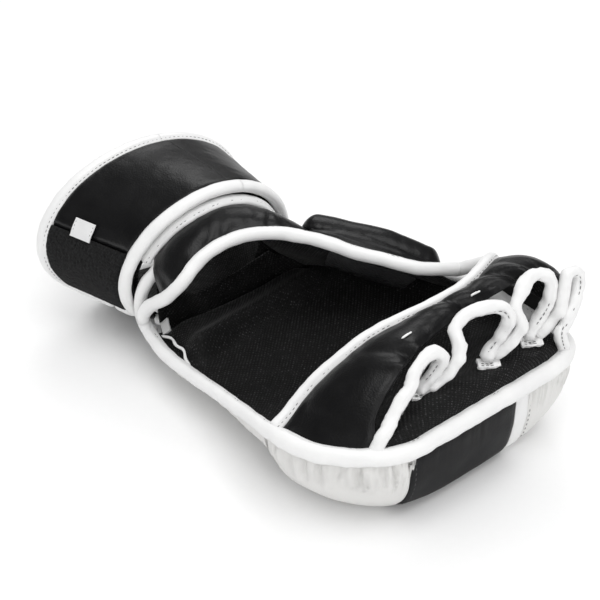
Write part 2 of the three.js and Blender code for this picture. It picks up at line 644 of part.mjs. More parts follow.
buildKnuckleShell();
buildKnuckleCore();
buildKnuckleRim();
buildPalmBand();
buildFingerOpenings();
buildHandSection();
buildThumbGuard();
buildWrist();
buildCuff();
buildStrap();

export default glove;
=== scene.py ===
"""Sparring glove: the looks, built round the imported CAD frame. Metres, +X fingers, +Y thumb, +Z palm."""

import json
import math

import bpy
import numpy as np
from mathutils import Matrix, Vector


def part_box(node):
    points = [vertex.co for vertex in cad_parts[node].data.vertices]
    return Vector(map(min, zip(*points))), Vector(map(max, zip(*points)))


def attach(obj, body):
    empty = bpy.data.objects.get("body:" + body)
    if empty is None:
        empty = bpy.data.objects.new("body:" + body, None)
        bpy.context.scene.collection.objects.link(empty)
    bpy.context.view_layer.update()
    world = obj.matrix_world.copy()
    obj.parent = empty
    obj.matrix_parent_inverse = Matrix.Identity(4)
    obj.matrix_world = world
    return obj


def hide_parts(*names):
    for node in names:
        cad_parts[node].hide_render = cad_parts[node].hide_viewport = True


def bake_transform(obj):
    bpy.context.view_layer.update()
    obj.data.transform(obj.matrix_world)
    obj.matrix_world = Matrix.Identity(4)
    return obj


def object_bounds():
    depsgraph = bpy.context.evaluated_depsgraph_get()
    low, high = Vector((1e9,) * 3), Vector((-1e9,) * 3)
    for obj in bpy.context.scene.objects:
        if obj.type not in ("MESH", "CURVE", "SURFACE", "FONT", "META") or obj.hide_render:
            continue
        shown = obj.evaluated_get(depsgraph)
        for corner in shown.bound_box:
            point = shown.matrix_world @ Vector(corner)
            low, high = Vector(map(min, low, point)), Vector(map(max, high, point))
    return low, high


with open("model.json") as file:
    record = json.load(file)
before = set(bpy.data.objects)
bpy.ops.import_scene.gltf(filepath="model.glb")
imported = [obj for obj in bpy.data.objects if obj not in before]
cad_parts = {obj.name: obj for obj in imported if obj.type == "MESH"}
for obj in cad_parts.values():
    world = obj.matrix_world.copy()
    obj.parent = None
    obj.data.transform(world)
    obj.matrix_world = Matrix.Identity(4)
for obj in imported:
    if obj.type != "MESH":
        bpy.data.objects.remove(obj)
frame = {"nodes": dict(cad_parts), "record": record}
cad_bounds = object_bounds()
MM = 0.001
SEED = 7
FINGERWARD = (1, 0, 0)
THUMBWARD = (0, 1, 0)


# ---------------------------------------------------------------- small sums
def unit(vectors):
    """Vectors scaled to length one along the last axis."""
    return vectors / np.linalg.norm(vectors, axis=-1)[..., None]


def run_along(line):
    """Distance from the first point of a line to each of its points."""
    return np.concatenate([[0], np.cumsum(np.linalg.norm(np.diff(line, axis=0), axis=1))])


def sample(run, line, spots):
    """Points of a line at given distances along it."""
    return np.stack([np.interp(spots, run, line[:, k]) for k in range(3)], -1)


def lerp(a, b, t):
    """Straight blend from a to b."""
    return a + (b - a) * t


def middle_of(node):
    """Middle of a CAD node's box."""
    low, high = (np.array(v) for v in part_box(node))
    return (low + high) / 2


def ring_faces(rows, sides, turned=False):
    """Quads of a tube of rings, and its two end caps last."""
    faces = []
    for i in range(rows - 1):
        for j in range(sides):
            k = (j + 1) % sides
            faces.append([i * sides + j, i * sides + k, (i + 1) * sides + k, (i + 1) * sides + j])
    faces.append(list(range(sides))[::-1])
    faces.append([(rows - 1) * sides + j for j in range(sides)])
    return [f[::-1] for f in faces] if turned else faces


# ---------------------------------------------------------------- reading the frame
def welded(node):
    """Corners and faces of a CAD node, with shared corners joined."""
    mesh = frame["nodes"][node].data
    points = np.array([v.co for v in mesh.vertices], float)
    unique, inverse = np.unique(np.round(points, 6), axis=0, return_inverse=True)
    inverse = inverse.reshape(-1)
    faces = [tuple(int(inverse[i]) for i in p.vertices) for p in mesh.polygons]
    return unique, [f for f in faces if len(set(f)) == 3]


def face_normals(points, faces):
    """Unit normal of each triangle."""
    f = np.array(faces)
    n = np.cross(points[f[:, 1]] - points[f[:, 0]], points[f[:, 2]] - points[f[:, 0]])
    return n / (np.linalg.norm(n, axis=1)[:, None] + 1e-15)


def face_groups(faces, normals, limit_deg):
    """Groups of faces joined over edges that bend by less than the limit."""
    by_edge = {}
    for k, f in enumerate(faces):
        for a, b in ((f[0], f[1]), (f[1], f[2]), (f[2], f[0])):
            by_edge.setdefault((min(a, b), max(a, b)), []).append(k)
    linked = [[] for _ in faces]
    limit = math.cos(math.radians(limit_deg))
    for pair in by_edge.values():
        if len(pair) == 2 and normals[pair[0]] @ normals[pair[1]] > limit:
            linked[pair[0]].append(pair[1])
            linked[pair[1]].append(pair[0])
    group = [-1] * len(faces)
    count = 0
    for k in range(len(faces)):
        if group[k] >= 0:
            continue
        group[k] = count
        todo = [k]
        while todo:
            for j in linked[todo.pop()]:
                if group[j] < 0:
                    group[j] = count
                    todo.append(j)
        count += 1
    return [[k for k in range(len(faces)) if group[k] == g] for g in range(count)]


def neighbours(faces, count):
    """The corners that share an edge with each corner."""
    near = [set() for _ in range(count)]
    for a, b, c in faces:
        near[a] |= {b, c}
        near[b] |= {a, c}
        near[c] |= {a, b}
    return near


def steps_from(start, near):
    """Number of edges from a set of corners to every corner that can be reached."""
    dist = {v: 0 for v in start}
    front = list(start)
    while front:
        following = []
        for v in front:
            for w in near[v]:
                if w not in dist:
                    dist[w] = dist[v] + 1
                    following.append(w)
        front = following
    return dist


def centre_line(node, toward=None):
    """Centre points of a cord, one per ring; it starts at the end furthest against `toward`."""
    points, faces = welded(node)
    normals = face_normals(points, faces)
    near = neighbours(faces, len(points))
    for members in face_groups(faces, normals, 1.0):
        corners = sorted({v for k in members for v in faces[k]})
        if len(corners) < 7:
            continue
        reach = np.linalg.norm(points[corners] - points[corners].mean(0), axis=1)
        if reach.std() < 0.05 * reach.mean():
            break
    dist = steps_from(corners, near)
    layers = np.array([dist[v] for v in range(len(points))])
    line = np.array([points[layers == k].mean(0) for k in range(layers.max() + 1)])
    if toward is not None and (line[-1] - line[0]) @ np.array(toward, float) < 0:
        line = line[::-1]
    return line


def edge_loop(faces):
    """Corners round the open edge of a patch of triangles, in order."""
    counts = {}
    for f in faces:
        for a, b in ((f[0], f[1]), (f[1], f[2]), (f[2], f[0])):
            key = (min(a, b), max(a, b))
            counts[key] = counts.get(key, 0) + 1
    rim = {}
    for (a, b), c in counts.items():
        if c == 1:
            rim.setdefault(a, []).append(b)
            rim.setdefault(b, []).append(a)
    loop = [next(iter(rim))]
    while True:
        options = [w for w in rim[loop[-1]] if len(loop) < 2 or w != loop[-2]]
        if options[0] == loop[0]:
            return loop
        loop.append(options[0])


def two_faces(node, points, faces, normals):
    """The two broad faces of a CAD sheet, each as a list of triangles."""
    half = len(points) // 2
    for limit in (60, 50, 70, 40, 80, 30):
        groups = sorted(face_groups(faces, normals, limit), key=len, reverse=True)[:2]
        if all(len({v for k in g for v in faces[k]}) == half for g in groups):
            return groups
    raise ValueError(f"{node}: the two faces of the sheet can't be told apart")


def grid_of(node, along, across, outward):
    """One face of a CAD sheet as a grid: rows run along, columns across, and outward picks the face."""
    points, faces = welded(node)
    normals = face_normals(points, faces)
    groups = two_faces(node, points, faces, normals)
    scores = []
    for group in groups:
        middle = points[np.array([faces[k] for k in group])].mean(1)
        scores.append(float(np.mean(np.sum(normals[group] * outward(middle), axis=1))))
    group = groups[int(np.argmax(scores))]
    kept = [faces[k] for k in group]
    corners = sorted({v for f in kept for v in f})
    near = neighbours(kept, len(points))
    loop = edge_loop(kept)
    side_faces = {v: [] for v in loop}
    for k in set(range(len(faces))) - set(group):
        for v in faces[k]:
            if v in side_faces:
                side_faces[v].append(normals[k])
    turn = []
    for v in loop:
        around = np.array(side_faces[v])
        turn.append(float((around @ around.T).min()))
    ends = []
    for k in np.argsort(turn):
        if all(min((k - e) % len(loop), (e - k) % len(loop)) > 1 for e in ends):
            ends.append(int(k))
        if len(ends) == 4:
            break
    ends.sort()
    sides = []
    for a, b in zip(ends, ends[1:] + [ends[0] + len(loop)]):
        sides.append([loop[k % len(loop)] for k in range(a, b + 1)])
    rows = steps_from(sides[0], near)
    columns = steps_from(sides[1], near)
    shape = (max(rows[v] for v in corners) + 1, max(columns[v] for v in corners) + 1)
    if shape[0] * shape[1] != len(corners):
        raise ValueError(f"{node}: the grid can't be read, {shape} against {len(corners)} corners")
    grid = np.zeros(shape + (3,))
    for v in corners:
        grid[rows[v], columns[v]] = points[v]
    along, across = np.array(along, float), np.array(across, float)
    way0 = (grid[-1] - grid[0]).mean(0)
    way1 = (grid[:, -1] - grid[:, 0]).mean(0)
    if abs(way1 @ along) * abs(way0 @ across) > abs(way0 @ along) * abs(way1 @ across):
        grid = grid.transpose(1, 0, 2)
        way0, way1 = way1, way0
    if way0 @ along < 0:
        grid = grid[::-1]
    if way1 @ across < 0:
        grid = grid[:, ::-1]
    return grid


def facing(direction):
    """Outward rule: the face that looks along a direction."""
    d = np.array(direction, float)
    return lambda middle: np.tile(d / np.linalg.norm(d), (len(middle), 1))


def inside_of(rule):
    """The opposite of an outward rule."""
    return lambda middle: -rule(middle)


def away_from(centre, mask=(1, 1, 1)):
    """Outward rule: the face that looks away from a point, or from an axis when the mask drops it."""
    c, m = np.array(centre, float), np.array(mask, float)

    return lambda middle: unit((middle - c) * m)


FACE_UP = facing((0, 0, 1))
FACE_DOWN = facing((0, 0, -1))


# ---------------------------------------------------------------- curves and surfaces
def catmull(points, t):
    """Catmull-Rom interpolation along axis 0; t runs from 0 to len-1."""
    n = len(points)
    k = np.clip(np.floor(t).astype(int), 0, n - 2)
    f = (t - k).reshape((-1,) + (1,) * (points.ndim - 1))
    p1, p2 = points[k], points[k + 1]
    p0 = np.where((k > 0).reshape(f.shape), points[np.maximum(k - 1, 0)], 2 * p1 - p2)
    p3 = np.where((k < n - 2).reshape(f.shape), points[np.minimum(k + 2, n - 1)], 2 * p2 - p1)
    a = 2 * p1
    b = p2 - p0
    c = 2 * p0 - 5 * p1 + 4 * p2 - p3
    d = -p0 + 3 * p1 - 3 * p2 + p3
    return 0.5 * (a + b * f + c * f ** 2 + d * f ** 3)


def even(line, step):
    """A smooth line through the points, resampled at an even step."""
    dense = catmull(line, np.linspace(0, len(line) - 1, 12 * len(line)))
    run = run_along(dense)
    count = max(3, int(round(run[-1] / step)) + 1)
    return sample(run, dense, np.linspace(0, run[-1], count))


def grow(grid, first, last, near=0, far=0):
    """Carries a fine grid straight on past its ends, so that a panel tucks under its bindings.

    The reach past the first row, last row, first column and last column is in millimetres.
    """
    shares = np.linspace(0, 1, 5)[1:, None, None]
    for axis, before, after in ((0, first * MM, last * MM), (1, near * MM, far * MM)):
        g = np.moveaxis(grid, axis, 0)
        parts = [g]
        if before > 0:
            parts.insert(0, (g[0] + before * shares * unit(g[0] - g[1]))[::-1])
        if after > 0:
            parts.append(g[-1] + after * shares * unit(g[-1] - g[-2]))
        grid = np.moveaxis(np.concatenate(parts), 0, axis)
    return grid


def refine(grid, rows, columns):
    """The same surface with more rows and columns."""
    g = catmull(grid, np.linspace(0, grid.shape[0] - 1, rows))
    g = catmull(g.transpose(1, 0, 2), np.linspace(0, grid.shape[1] - 1, columns))
    return g.transpose(1, 0, 2)


def grid_normals(p, rule):
    """Unit normals of a grid, turned to the side the outward rule asks for."""
    du = np.gradient(p, axis=0)
    dv = np.gradient(p, axis=1)
    n = np.cross(du, dv)
    n /= np.linalg.norm(n, axis=2)[..., None] + 1e-15
    flat = n.reshape(-1, 3)
    if np.mean(np.sum(flat * rule(p.reshape(-1, 3)), axis=1)) < 0:
        n = -n
    return n


def field(points, wave, seed, stretch=(1, 1, 1)):
    """Smooth random field with about unit spread and the given wavelength in metres."""
    rng = np.random.default_rng(SEED * 100 + seed)
    total = np.zeros(points.shape[:-1])
    q = points * np.array(stretch, float)
    for _ in range(26):
        d = rng.normal(size=3)
        d /= np.linalg.norm(d)
        k = 2 * math.pi / (wave * rng.uniform(0.7, 1.5))
        total += np.sin(k * (q @ d) + rng.uniform(0, 2 * math.pi))
    return total / math.sqrt(13)


def smoothstep(x, a, b):
    """Smooth rise from 0 at a to 1 at b."""
    t = np.clip((x - a) / (b - a), 0, 1)
    return t * t * (3 - 2 * t)


# ---------------------------------------------------------------- making objects
def make_mesh(name, points, faces, uv=None, crisp=0):
    """Smooth-shaded mesh; the last faces, as many as crisp says, are flat-shaded cut ends or sides."""
    mesh = bpy.data.meshes.new(name)
    mesh.from_pydata([tuple(p) for p in points], [], faces)
    mesh.polygons.foreach_set("use_smooth", [True] * (len(faces) - crisp) + [False] * crisp)
    if uv is not None:
        layer = mesh.uv_layers.new(name="UVMap")
        ids = np.zeros(len(mesh.loops), int)
        mesh.loops.foreach_get("vertex_index", ids)
        layer.data.foreach_set("uv", np.asarray(uv)[ids].astype(np.float32).ravel())
    mesh.update()
    obj = bpy.data.objects.new(name, mesh)
    bpy.context.scene.collection.objects.link(obj)
    return obj


def grid_faces(rows, columns):
    """Quads between the corners of a grid."""
    i, j = np.meshgrid(np.arange(rows - 1), np.arange(columns - 1), indexing="ij")
    a = (i * columns + j).ravel()
    return np.stack([a, a + columns, a + columns + 1, a + 1], 1).tolist()


def surface(name, grid, rule, material, thick):
    """Smooth sheet with a real thickness, in millimetres. UV is in metres along the two directions."""
    normals = grid_normals(grid, rule)
    rows, columns = grid.shape[:2]
    du = np.linalg.norm(np.diff(grid, axis=0), axis=2).mean(1)
    dv = np.linalg.norm(np.diff(grid, axis=1), axis=2).mean(0)
    u = np.concatenate([[0], np.cumsum(du)])
    v = np.concatenate([[0], np.cumsum(dv)])
    uu, vv = np.meshgrid(u, v, indexing="ij")
    uv = np.stack([uu.ravel(), vv.ravel()], 1)
    outer = grid.reshape(-1, 3)
    inner = (grid - normals * (thick * MM)).reshape(-1, 3)
    count = rows * columns
    top = np.array(grid_faces(rows, columns))
    natural = np.cross(np.gradient(grid, axis=0), np.gradient(grid, axis=1))
    flip = np.mean(np.sum(natural * normals, axis=2)) < 0
    top = top[:, ::-1] if flip else top
    bottom = top[:, ::-1] + count
    edge = [*range(columns), *range(2 * columns - 1, count, columns)]
    edge += [*range(count - 2, count - columns - 1, -1), *range(count - 2 * columns, 0, -columns)]
    walls = []
    for a, b in zip(edge, edge[1:] + edge[:1]):
        walls.append([a, b, b + count, a + count] if not flip else [b, a, a + count, b + count])
    faces = top.tolist() + bottom.tolist() + walls
    obj = make_mesh(name, np.concatenate([outer, inner]), faces, np.concatenate([uv, uv]), crisp=len(walls))
    obj.data.materials.append(material)
    return obj


def frames_along(line, hint):
    """The hint made square to the line, and the direction square to both, at each point."""
    tangent = unit(np.gradient(line, axis=0))
    up = hint(line)
    up = unit(up - np.sum(up * tangent, axis=1)[:, None] * tangent)
    return up, np.cross(tangent, up)


def cord(name, line, radius, hint, material, seed, sides=22, pucker=0.02, flat=1.0, groove_deg=None,
         closed=(True, True)):
    """Binding cord: soft section, small puckers, and a groove where the stitch line runs."""
    up, side = frames_along(line, hint)
    run = run_along(line)
    radius = np.broadcast_to(radius, (len(line),)).astype(float)
    angle = np.linspace(0, 2 * math.pi, sides, endpoint=False)
    a, _ = np.meshgrid(angle, run)
    centre = line[:, None, :]
    ring = up[:, None, :] * np.cos(a)[..., None] * flat + side[:, None, :] * np.sin(a)[..., None]
    size = 1 + pucker * field(centre + ring * radius[:, None, None], 9 * MM, seed)
    size += 0.5 * pucker * field(centre + ring * radius[:, None, None], 4 * MM, seed + 50)
    if groove_deg is not None:
        groove = np.broadcast_to(groove_deg, (len(line),))[:, None]
        away = np.abs((np.degrees(a) - groove + 180) % 360 - 180)
        size -= 0.15 * np.exp(-(away / 10) ** 2)
    far = run[-1] + 1.0
    ends = np.minimum(run if closed[0] else run + far, run[-1] - run if closed[1] else run * 0 + far)[:, None]
    close = np.sqrt(np.clip(1 - (1 - np.clip(ends / (0.7 * radius[:, None]), 0, 1)) ** 2, 0.02, 1))
    points = centre + ring * (radius[:, None] * size * close)[..., None]
    uv = np.stack([np.repeat(run, sides), np.tile(angle, len(line)) * float(radius.mean())], 1)
    obj = make_mesh(name, points.reshape(-1, 3), ring_faces(len(line), sides), uv, crisp=2)
    obj.data.materials.append(material)
    return obj


# place along a stitch and share of its full radius, from end to end
STITCH_STATIONS = [(-1.0, 0.15), (-0.85, 0.7), (-0.4, 1.0), (0.4, 1.0), (0.85, 0.7), (1.0, 0.15)]
STITCH_SIDES = 6


def stitches(name, line, up, material, step=3.0 * MM, length=1.9 * MM, radius=0.32 * MM, sunk=0.12 * MM):
    """Row of short thread stitches lying on a surface line; up is the surface normal there."""
    run = run_along(line)
    spots = np.arange(step, run[-1] - step, step)
    tangents = unit(sample(run, unit(np.gradient(line, axis=0)), spots))
    ups = sample(run, up, spots)
    ups = unit(ups - np.sum(ups * tangents, axis=1)[:, None] * tangents)
    asides = np.cross(tangents, ups)
    one = ring_faces(len(STITCH_STATIONS), STITCH_SIDES)
    points, faces = [], []
    for centre, tangent, normal, aside in zip(sample(run, line, spots), tangents, ups, asides):
        base = len(points)
        for x, r in STITCH_STATIONS:
            dip = -sunk - 0.25 * radius * x * x
            for j in range(STITCH_SIDES):
                w = 2 * math.pi * j / STITCH_SIDES
                offset = normal * (math.cos(w) * r * radius + dip) + aside * math.sin(w) * r * radius
                points.append(centre + tangent * x * length / 2 + offset)
        faces += [[base + v for v in f] for f in one]
    obj = make_mesh(name, points, faces)
    obj.data.materials.append(material)
    return obj


def binding(name, line, radius, hint, groove_deg, seed, how, nodes=None, flat=1.0, **options):
    """White binding cord with a row of thread in its groove; it stands for the CAD node of the same name."""
    line = even(line, 1.4 * MM)
    radius = np.broadcast_to(radius(line) if callable(radius) else radius, (len(line),))
    groove = np.broadcast_to(groove_deg(line) if callable(groove_deg) else groove_deg, (len(line),))
    body = cord(name, line, radius, hint, WHITE, seed, groove_deg=groove, flat=flat, **options)
    up, side = frames_along(line, hint)
    turn = np.radians(groove)[:, None]
    ring = up * np.cos(turn) * flat + side * np.sin(turn)
    row = line + ring * (radius * 0.87)[:, None]
    size = {"step": 2.6 * MM, "length": 1.7 * MM, "radius": 0.24 * MM}
    # The white thread is coloured grey: painted shade for the holes it sinks into.
    thread = stitches(f"{name}.thread", row, unit(ring), SHADED_WHITE_THREAD, **size)
    follow([body, thread], how, (name,) if nodes is None else nodes)


# ---------------------------------------------------------------- materials
def new_material(name):
    """An empty node material with its tree and its main shader."""
    material = bpy.data.materials.new(f"{name}_look")
    material.use_nodes = True
    tree = material.node_tree
    return material, tree, tree.nodes["Principled BSDF"]


def add_node(tree, kind, inputs=None, **settings):
    """A node whose inputs are given as values or as sockets to link."""
    made = tree.nodes.new(kind)
    for key, value in settings.items():
        setattr(made, key, value)
    for key, value in (inputs or {}).items():
        if isinstance(value, bpy.types.NodeSocket):
            tree.links.new(value, made.inputs[key])
        else:
            made.inputs[key].default_value = value
    return made


def maths(tree, operation, a, b=0.0):
    """Result of one sum on two values."""
    return add_node(tree, "ShaderNodeMath", {0: a, 1: b}, operation=operation).outputs[0]


def remap(tree, value, low, high, to_low, to_high):
    """A value carried from one range to another."""
    inputs = {"Value": value, 1: low, 2: high, 3: to_low, 4: to_high}
    return add_node(tree, "ShaderNodeMapRange", inputs).outputs[0]


def mix_colour(tree, share, a, b):
    """Colour between a and b."""
    made = add_node(tree, "ShaderNodeMix", data_type="RGBA")
    made.inputs[6].default_value = (*a, 1)
    made.inputs[7].default_value = (*b, 1)
    if isinstance(share, bpy.types.NodeSocket):
        tree.links.new(share, made.inputs[0])
    return made.outputs[2]


def noise(tree, place, scale, detail, **inputs):
    """Value of a noise texture."""
    inputs = {"Vector": place, "Scale": scale, "Detail": detail, **inputs}
    return add_node(tree, "ShaderNodeTexNoise", inputs).outputs[0]


def bump(tree, height, strength, distance):
    """Normal bent by a height."""
    inputs = {"Height": height, "Strength": strength, "Distance": distance}
    return add_node(tree, "ShaderNodeBump", inputs).outputs[0]


def crossed_waves(tree, turns, **inputs):
    """Two sets of threads that cross: wave textures on the UV map, each turned by an angle, multiplied."""
    uv = add_node(tree, "ShaderNodeTexCoord").outputs["UV"]
    waves = []
    for turn in turns:
        turned = add_node(tree, "ShaderNodeMapping", {"Vector": uv, "Rotation": (0, 0, math.radians(turn))})
        inputs["Vector"] = turned.outputs[0]
        waves.append(add_node(tree, "ShaderNodeTexWave", inputs).outputs["Fac"])
    return maths(tree, "MULTIPLY", waves[0], waves[1])


def connect(tree, skin, **sockets):
    """Sets or links inputs of the main shader; an underscore stands for a space."""
    for key, value in sockets.items():
        key = key.replace("_", " ")
        if isinstance(value, bpy.types.NodeSocket):
            tree.links.new(value, skin.inputs[key])
        else:
            skin.inputs[key].default_value = value


def object_place(tree):
    """Place on the object, in metres."""
    return add_node(tree, "ShaderNodeTexCoord").outputs["Object"]


def leather(name, dark, light, rough, grain, depth, coat, pebble=0.0, shine=0.45):
    """Grained leather: small cells pressed into the skin, fine creases, and an uneven polish."""
    material, tree, skin = new_material(name)
    place = object_place(tree)
    cells = add_node(tree, "ShaderNodeTexVoronoi", {"Vector": place, "Scale": 1 / grain}, feature="F1")
    fine = noise(tree, place, 2.3 / grain, 3.0)
    crease = noise(tree, place, 140.0, 5.0)
    height = maths(tree, "ADD", cells.outputs["Distance"], maths(tree, "MULTIPLY", fine, 0.5))
    height = maths(tree, "ADD", height, maths(tree, "MULTIPLY", crease, 1.6 + pebble))
    skin_bump = bump(tree, height, depth, 0.25 * MM)
    polish = noise(tree, place, 45.0, 4.0)
    worn = remap(tree, polish, 0.3, 0.7, rough - 0.05, rough + 0.07)
    colour = mix_colour(tree, remap(tree, polish, 0.35, 0.65, 0.0, 1.0), dark, light)
    connect(tree, skin, Base_Color=colour, Roughness=worn, Normal=skin_bump)
    connect(tree, skin, Coat_Weight=coat, Coat_Roughness=0.22, Specular_IOR_Level=shine)
    return material


def mesh_weave(name, base, painted_glint_colour):
    """Air mesh: a slanting weave with small open holes, and a scatter of painted glints: lighter colour on
    thread crests where they would catch the light.
    """
    material, tree, skin = new_material(name)
    weave = crossed_waves(tree, (38, -38), Scale=215.0, Distortion=0.35, Detail=1.0)
    scatter = noise(tree, object_place(tree), 900.0, 2.0)
    # painted highlight: random thread crests take the lighter glint colour
    painted_glint_share = maths(tree, "MULTIPLY", remap(tree, weave, 0.35, 0.8, 0.0, 1.0),
                  remap(tree, scatter, 0.5, 0.68, 0.0, 1.0))
    skin_bump = bump(tree, weave, 0.7, 0.4 * MM)
    colour = mix_colour(tree, painted_glint_share, base, painted_glint_colour)
    connect(tree, skin, Base_Color=colour, Roughness=0.62, Normal=skin_bump)
    connect(tree, skin, Specular_IOR_Level=0.24, Sheen_Weight=0.06, Sheen_Roughness=0.4)
    return material


def fuzzy(name, base, tip, scale, depth, sheen):
    """Brushed or looped pile: short tangled fibres with a soft edge glow."""
    material, tree, skin = new_material(name)
    place = object_place(tree)
    clumps = noise(tree, place, scale, 6.0, Roughness=0.7)
    fibres = noise(tree, place, 6 * scale, 3.0)
    height = maths(tree, "ADD", clumps, maths(tree, "MULTIPLY", fibres, 0.6))
    skin_bump = bump(tree, height, depth, 1.0 * MM)
    colour = mix_colour(tree, remap(tree, height, 0.7, 1.0, 0.0, 1.0), base, tip)
    connect(tree, skin, Base_Color=colour, Roughness=0.95, Normal=skin_bump, Sheen_Weight=sheen)
    connect(tree, skin, Sheen_Roughness=0.5, Specular_IOR_Level=0.15)
    return material


def woven(name, base, shade, pitch, rough):
    """Tight flat weave for the label, or twisted thread when the pitch is small."""
    material, tree, skin = new_material(name)
    weave = crossed_waves(tree, (0, 90), Scale=0.3 / pitch, Distortion=0.4)
    skin_bump = bump(tree, weave, 0.4, 0.15 * MM)
    colour = mix_colour(tree, weave, shade, base)
    connect(tree, skin, Base_Color=colour, Roughness=rough, Normal=skin_bump)
    return material


def floor_paper(name):
    """Plain pale paper."""
    material, tree, skin = new_material(name)
    grain = noise(tree, object_place(tree), 300.0, 2.0)
    colour = mix_colour(tree, grain, (0.90, 0.90, 0.90), (0.92, 0.92, 0.92))
    connect(tree, skin, Base_Color=colour, Roughness=0.55, Specular_IOR_Level=0.3)
    return material


WHITE = leather("white_leather", (0.80, 0.80, 0.80), (0.85, 0.85, 0.845), 0.42, 0.8 * MM, 0.16, 0.12)
BLACK = leather("black_leather", (0.004, 0.004, 0.0045), (0.007, 0.007, 0.0075), 0.37, 0.9 * MM, 0.30, 0.06,
                shine=0.34)
# Darker, slightly creamier copy of the white leather for the pad corners and hand shell: the cream is their
# own tone, the darkening is painted shade for panels that sit below the bright rim.
SHADED_PAD_WHITE = leather("shaded_pad_leather", (0.70, 0.695, 0.68), (0.75, 0.745, 0.73), 0.46, 0.8 * MM, 0.14, 0.08)
PEBBLE = leather("pebbled_leather", (0.010, 0.010, 0.011), (0.018, 0.018, 0.019), 0.38, 1.7 * MM, 0.8, 0.15,
                 pebble=1.0)
GREY = leather("grey_leather", (0.008, 0.008, 0.0085), (0.011, 0.011, 0.012), 0.50, 0.9 * MM, 0.22, 0.0,
               shine=0.16)
# The third colour is the painted glint of the mesh.
MESH = mesh_weave("mesh_lining", (0.006, 0.006, 0.006), (0.085, 0.085, 0.088))
PILE = fuzzy("loop_pile", (0.003, 0.003, 0.003), (0.020, 0.020, 0.021), 950.0, 0.7, 0.06)
HOOK = fuzzy("hook_tape", (0.010, 0.010, 0.010), (0.040, 0.040, 0.040), 900.0, 0.7, 0.1)
LABEL = woven("label_cloth", (0.85, 0.85, 0.85), (0.70, 0.70, 0.70), 0.5 * MM, 0.7)
# Lighter copy of the pebbled leather for the loop's inner face: the lift in base colour is painted light,
# brightening that face.
LIT_LOOP_LINING = leather("lit_pebbled_lining", (0.016, 0.016, 0.017), (0.028, 0.028, 0.029), 0.30, 1.5 * MM, 1.0,
                      coat=0.4, pebble=1.0)
# White thread coloured mid grey: painted shade, standing for the shadow the stitches sit in along the white
# bindings and panels.
SHADED_WHITE_THREAD = woven("shaded_white_thread", (0.40, 0.40, 0.40), (0.20, 0.20, 0.20), 0.25 * MM, 0.6)
THREAD_DARK = woven("thread_dark", (0.09, 0.09, 0.092), (0.03, 0.03, 0.03), 0.25 * MM, 0.5)


# ---------------------------------------------------------------- how pieces follow the bodies
def point(x, y, z):
    """A place given in millimetres."""
    return Vector((x, y, z)) * MM


JOINT_AT = {j["name"]: np.array(j["pos_m"], float) for j in frame["record"]["behaviour"]["joints"]}


def bend_across(joint, way, reach):
    """Start and end points of the soft stretch over a joint, along a direction."""
    d = Vector(way).normalized() * reach
    middle = Vector(JOINT_AT[joint])
    return tuple(middle - d), tuple(middle + d)


FLEX = ("hand_section", "knuckle_section", *bend_across("knuckle_flex", (1, 0, 0), 11 * MM))
FOLD_1 = ("cuff", "strap_middle", *bend_across("strap_fold_1", (0, -0.3, 0.95), 15 * MM))
FOLD_2 = ("strap_middle", "strap_end", *bend_across("strap_fold_2", (0, -0.88, -0.47), 15 * MM))
WRIST = ("cuff", "hand_section", tuple(point(-137, 0, 0)), tuple(point(-106, 0, 0)))


def follow(objects, how, nodes=()):
    """Ties pieces to one body, or bakes their place when given two bodies with a bend, and hides the CAD
    nodes they stand for.
    """
    objects = objects if isinstance(objects, list) else [objects]
    for obj in objects:
        if isinstance(how, str):
            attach(obj, how)
        else:
            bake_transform(obj)
    if nodes:
        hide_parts(*nodes)


def sheet(name, grid, rule, material, thick, how, nodes=None):
    """A surface handed to follow with its bodies; it stands for the CAD node of its own name, or for given
    nodes.
    """
    follow(surface(name, grid, rule, material, thick), how, (name,) if nodes is None else nodes)


# ---------------------------------------------------------------- shaping cloth and leather
def grid_run(grid, axis):
    """Distance of each corner from the first end of the grid along an axis."""
    steps = np.linalg.norm(np.diff(grid, axis=axis), axis=2)
    pad = [(1, 0), (0, 0)] if axis == 0 else [(0, 0), (1, 0)]
    return np.pad(np.cumsum(steps, axis=axis), pad)


def edge_distance(grid, axis):
    """Distance of each corner from the nearer end of the grid along an axis."""
    run = grid_run(grid, axis)
    last = run[-1:, :] if axis == 0 else run[:, -1:]
    return np.minimum(run, last - run)


def rim_distance(grid):
    """Distance of each corner from the nearest edge of the grid."""
    return np.minimum(edge_distance(grid, 0), edge_distance(grid, 1))


def dress(grid, rule, seed, broad=0.5, fine=0.08, gather=0.0, wave=8, axis=0, reach=6, pinch=1.0):
    """Pushes a smooth sheet in and out like worn leather; gathers run square to the ends along the axis."""
    normals = grid_normals(grid, rule)
    away = rim_distance(grid)
    move = broad * MM * field(grid, 38 * MM, seed) * smoothstep(away, 0, 8 * MM)
    move += fine * MM * field(grid, 7 * MM, seed + 1)
    move -= pinch * MM * np.exp(-(away / (2.2 * MM)) ** 2)
    if gather:
        depth = edge_distance(grid, axis)
        run = grid_run(grid, 1 - axis)
        wander = 0.9 * field(grid, 26 * MM, seed + 2)
        ripple = np.sin(2 * math.pi * run / (wave * MM) + 2.2 * wander)
        fade = np.exp(-depth / (reach * MM)) * smoothstep(depth, 1.5 * MM, 4 * MM)
        move += 1.6 * gather * MM * ripple * fade * (0.6 + 0.4 * wander)
    return grid + normals * move[..., None]


def relax(grid, rounds):
    """Evens out a grid; its edges stay put."""
    g = grid.copy()
    for _ in range(rounds):
        middle = (g[:-2, 1:-1] + g[2:, 1:-1] + g[1:-1, :-2] + g[1:-1, 2:]) / 4
        g[1:-1, 1:-1] = 0.5 * g[1:-1, 1:-1] + 0.5 * middle
    return g


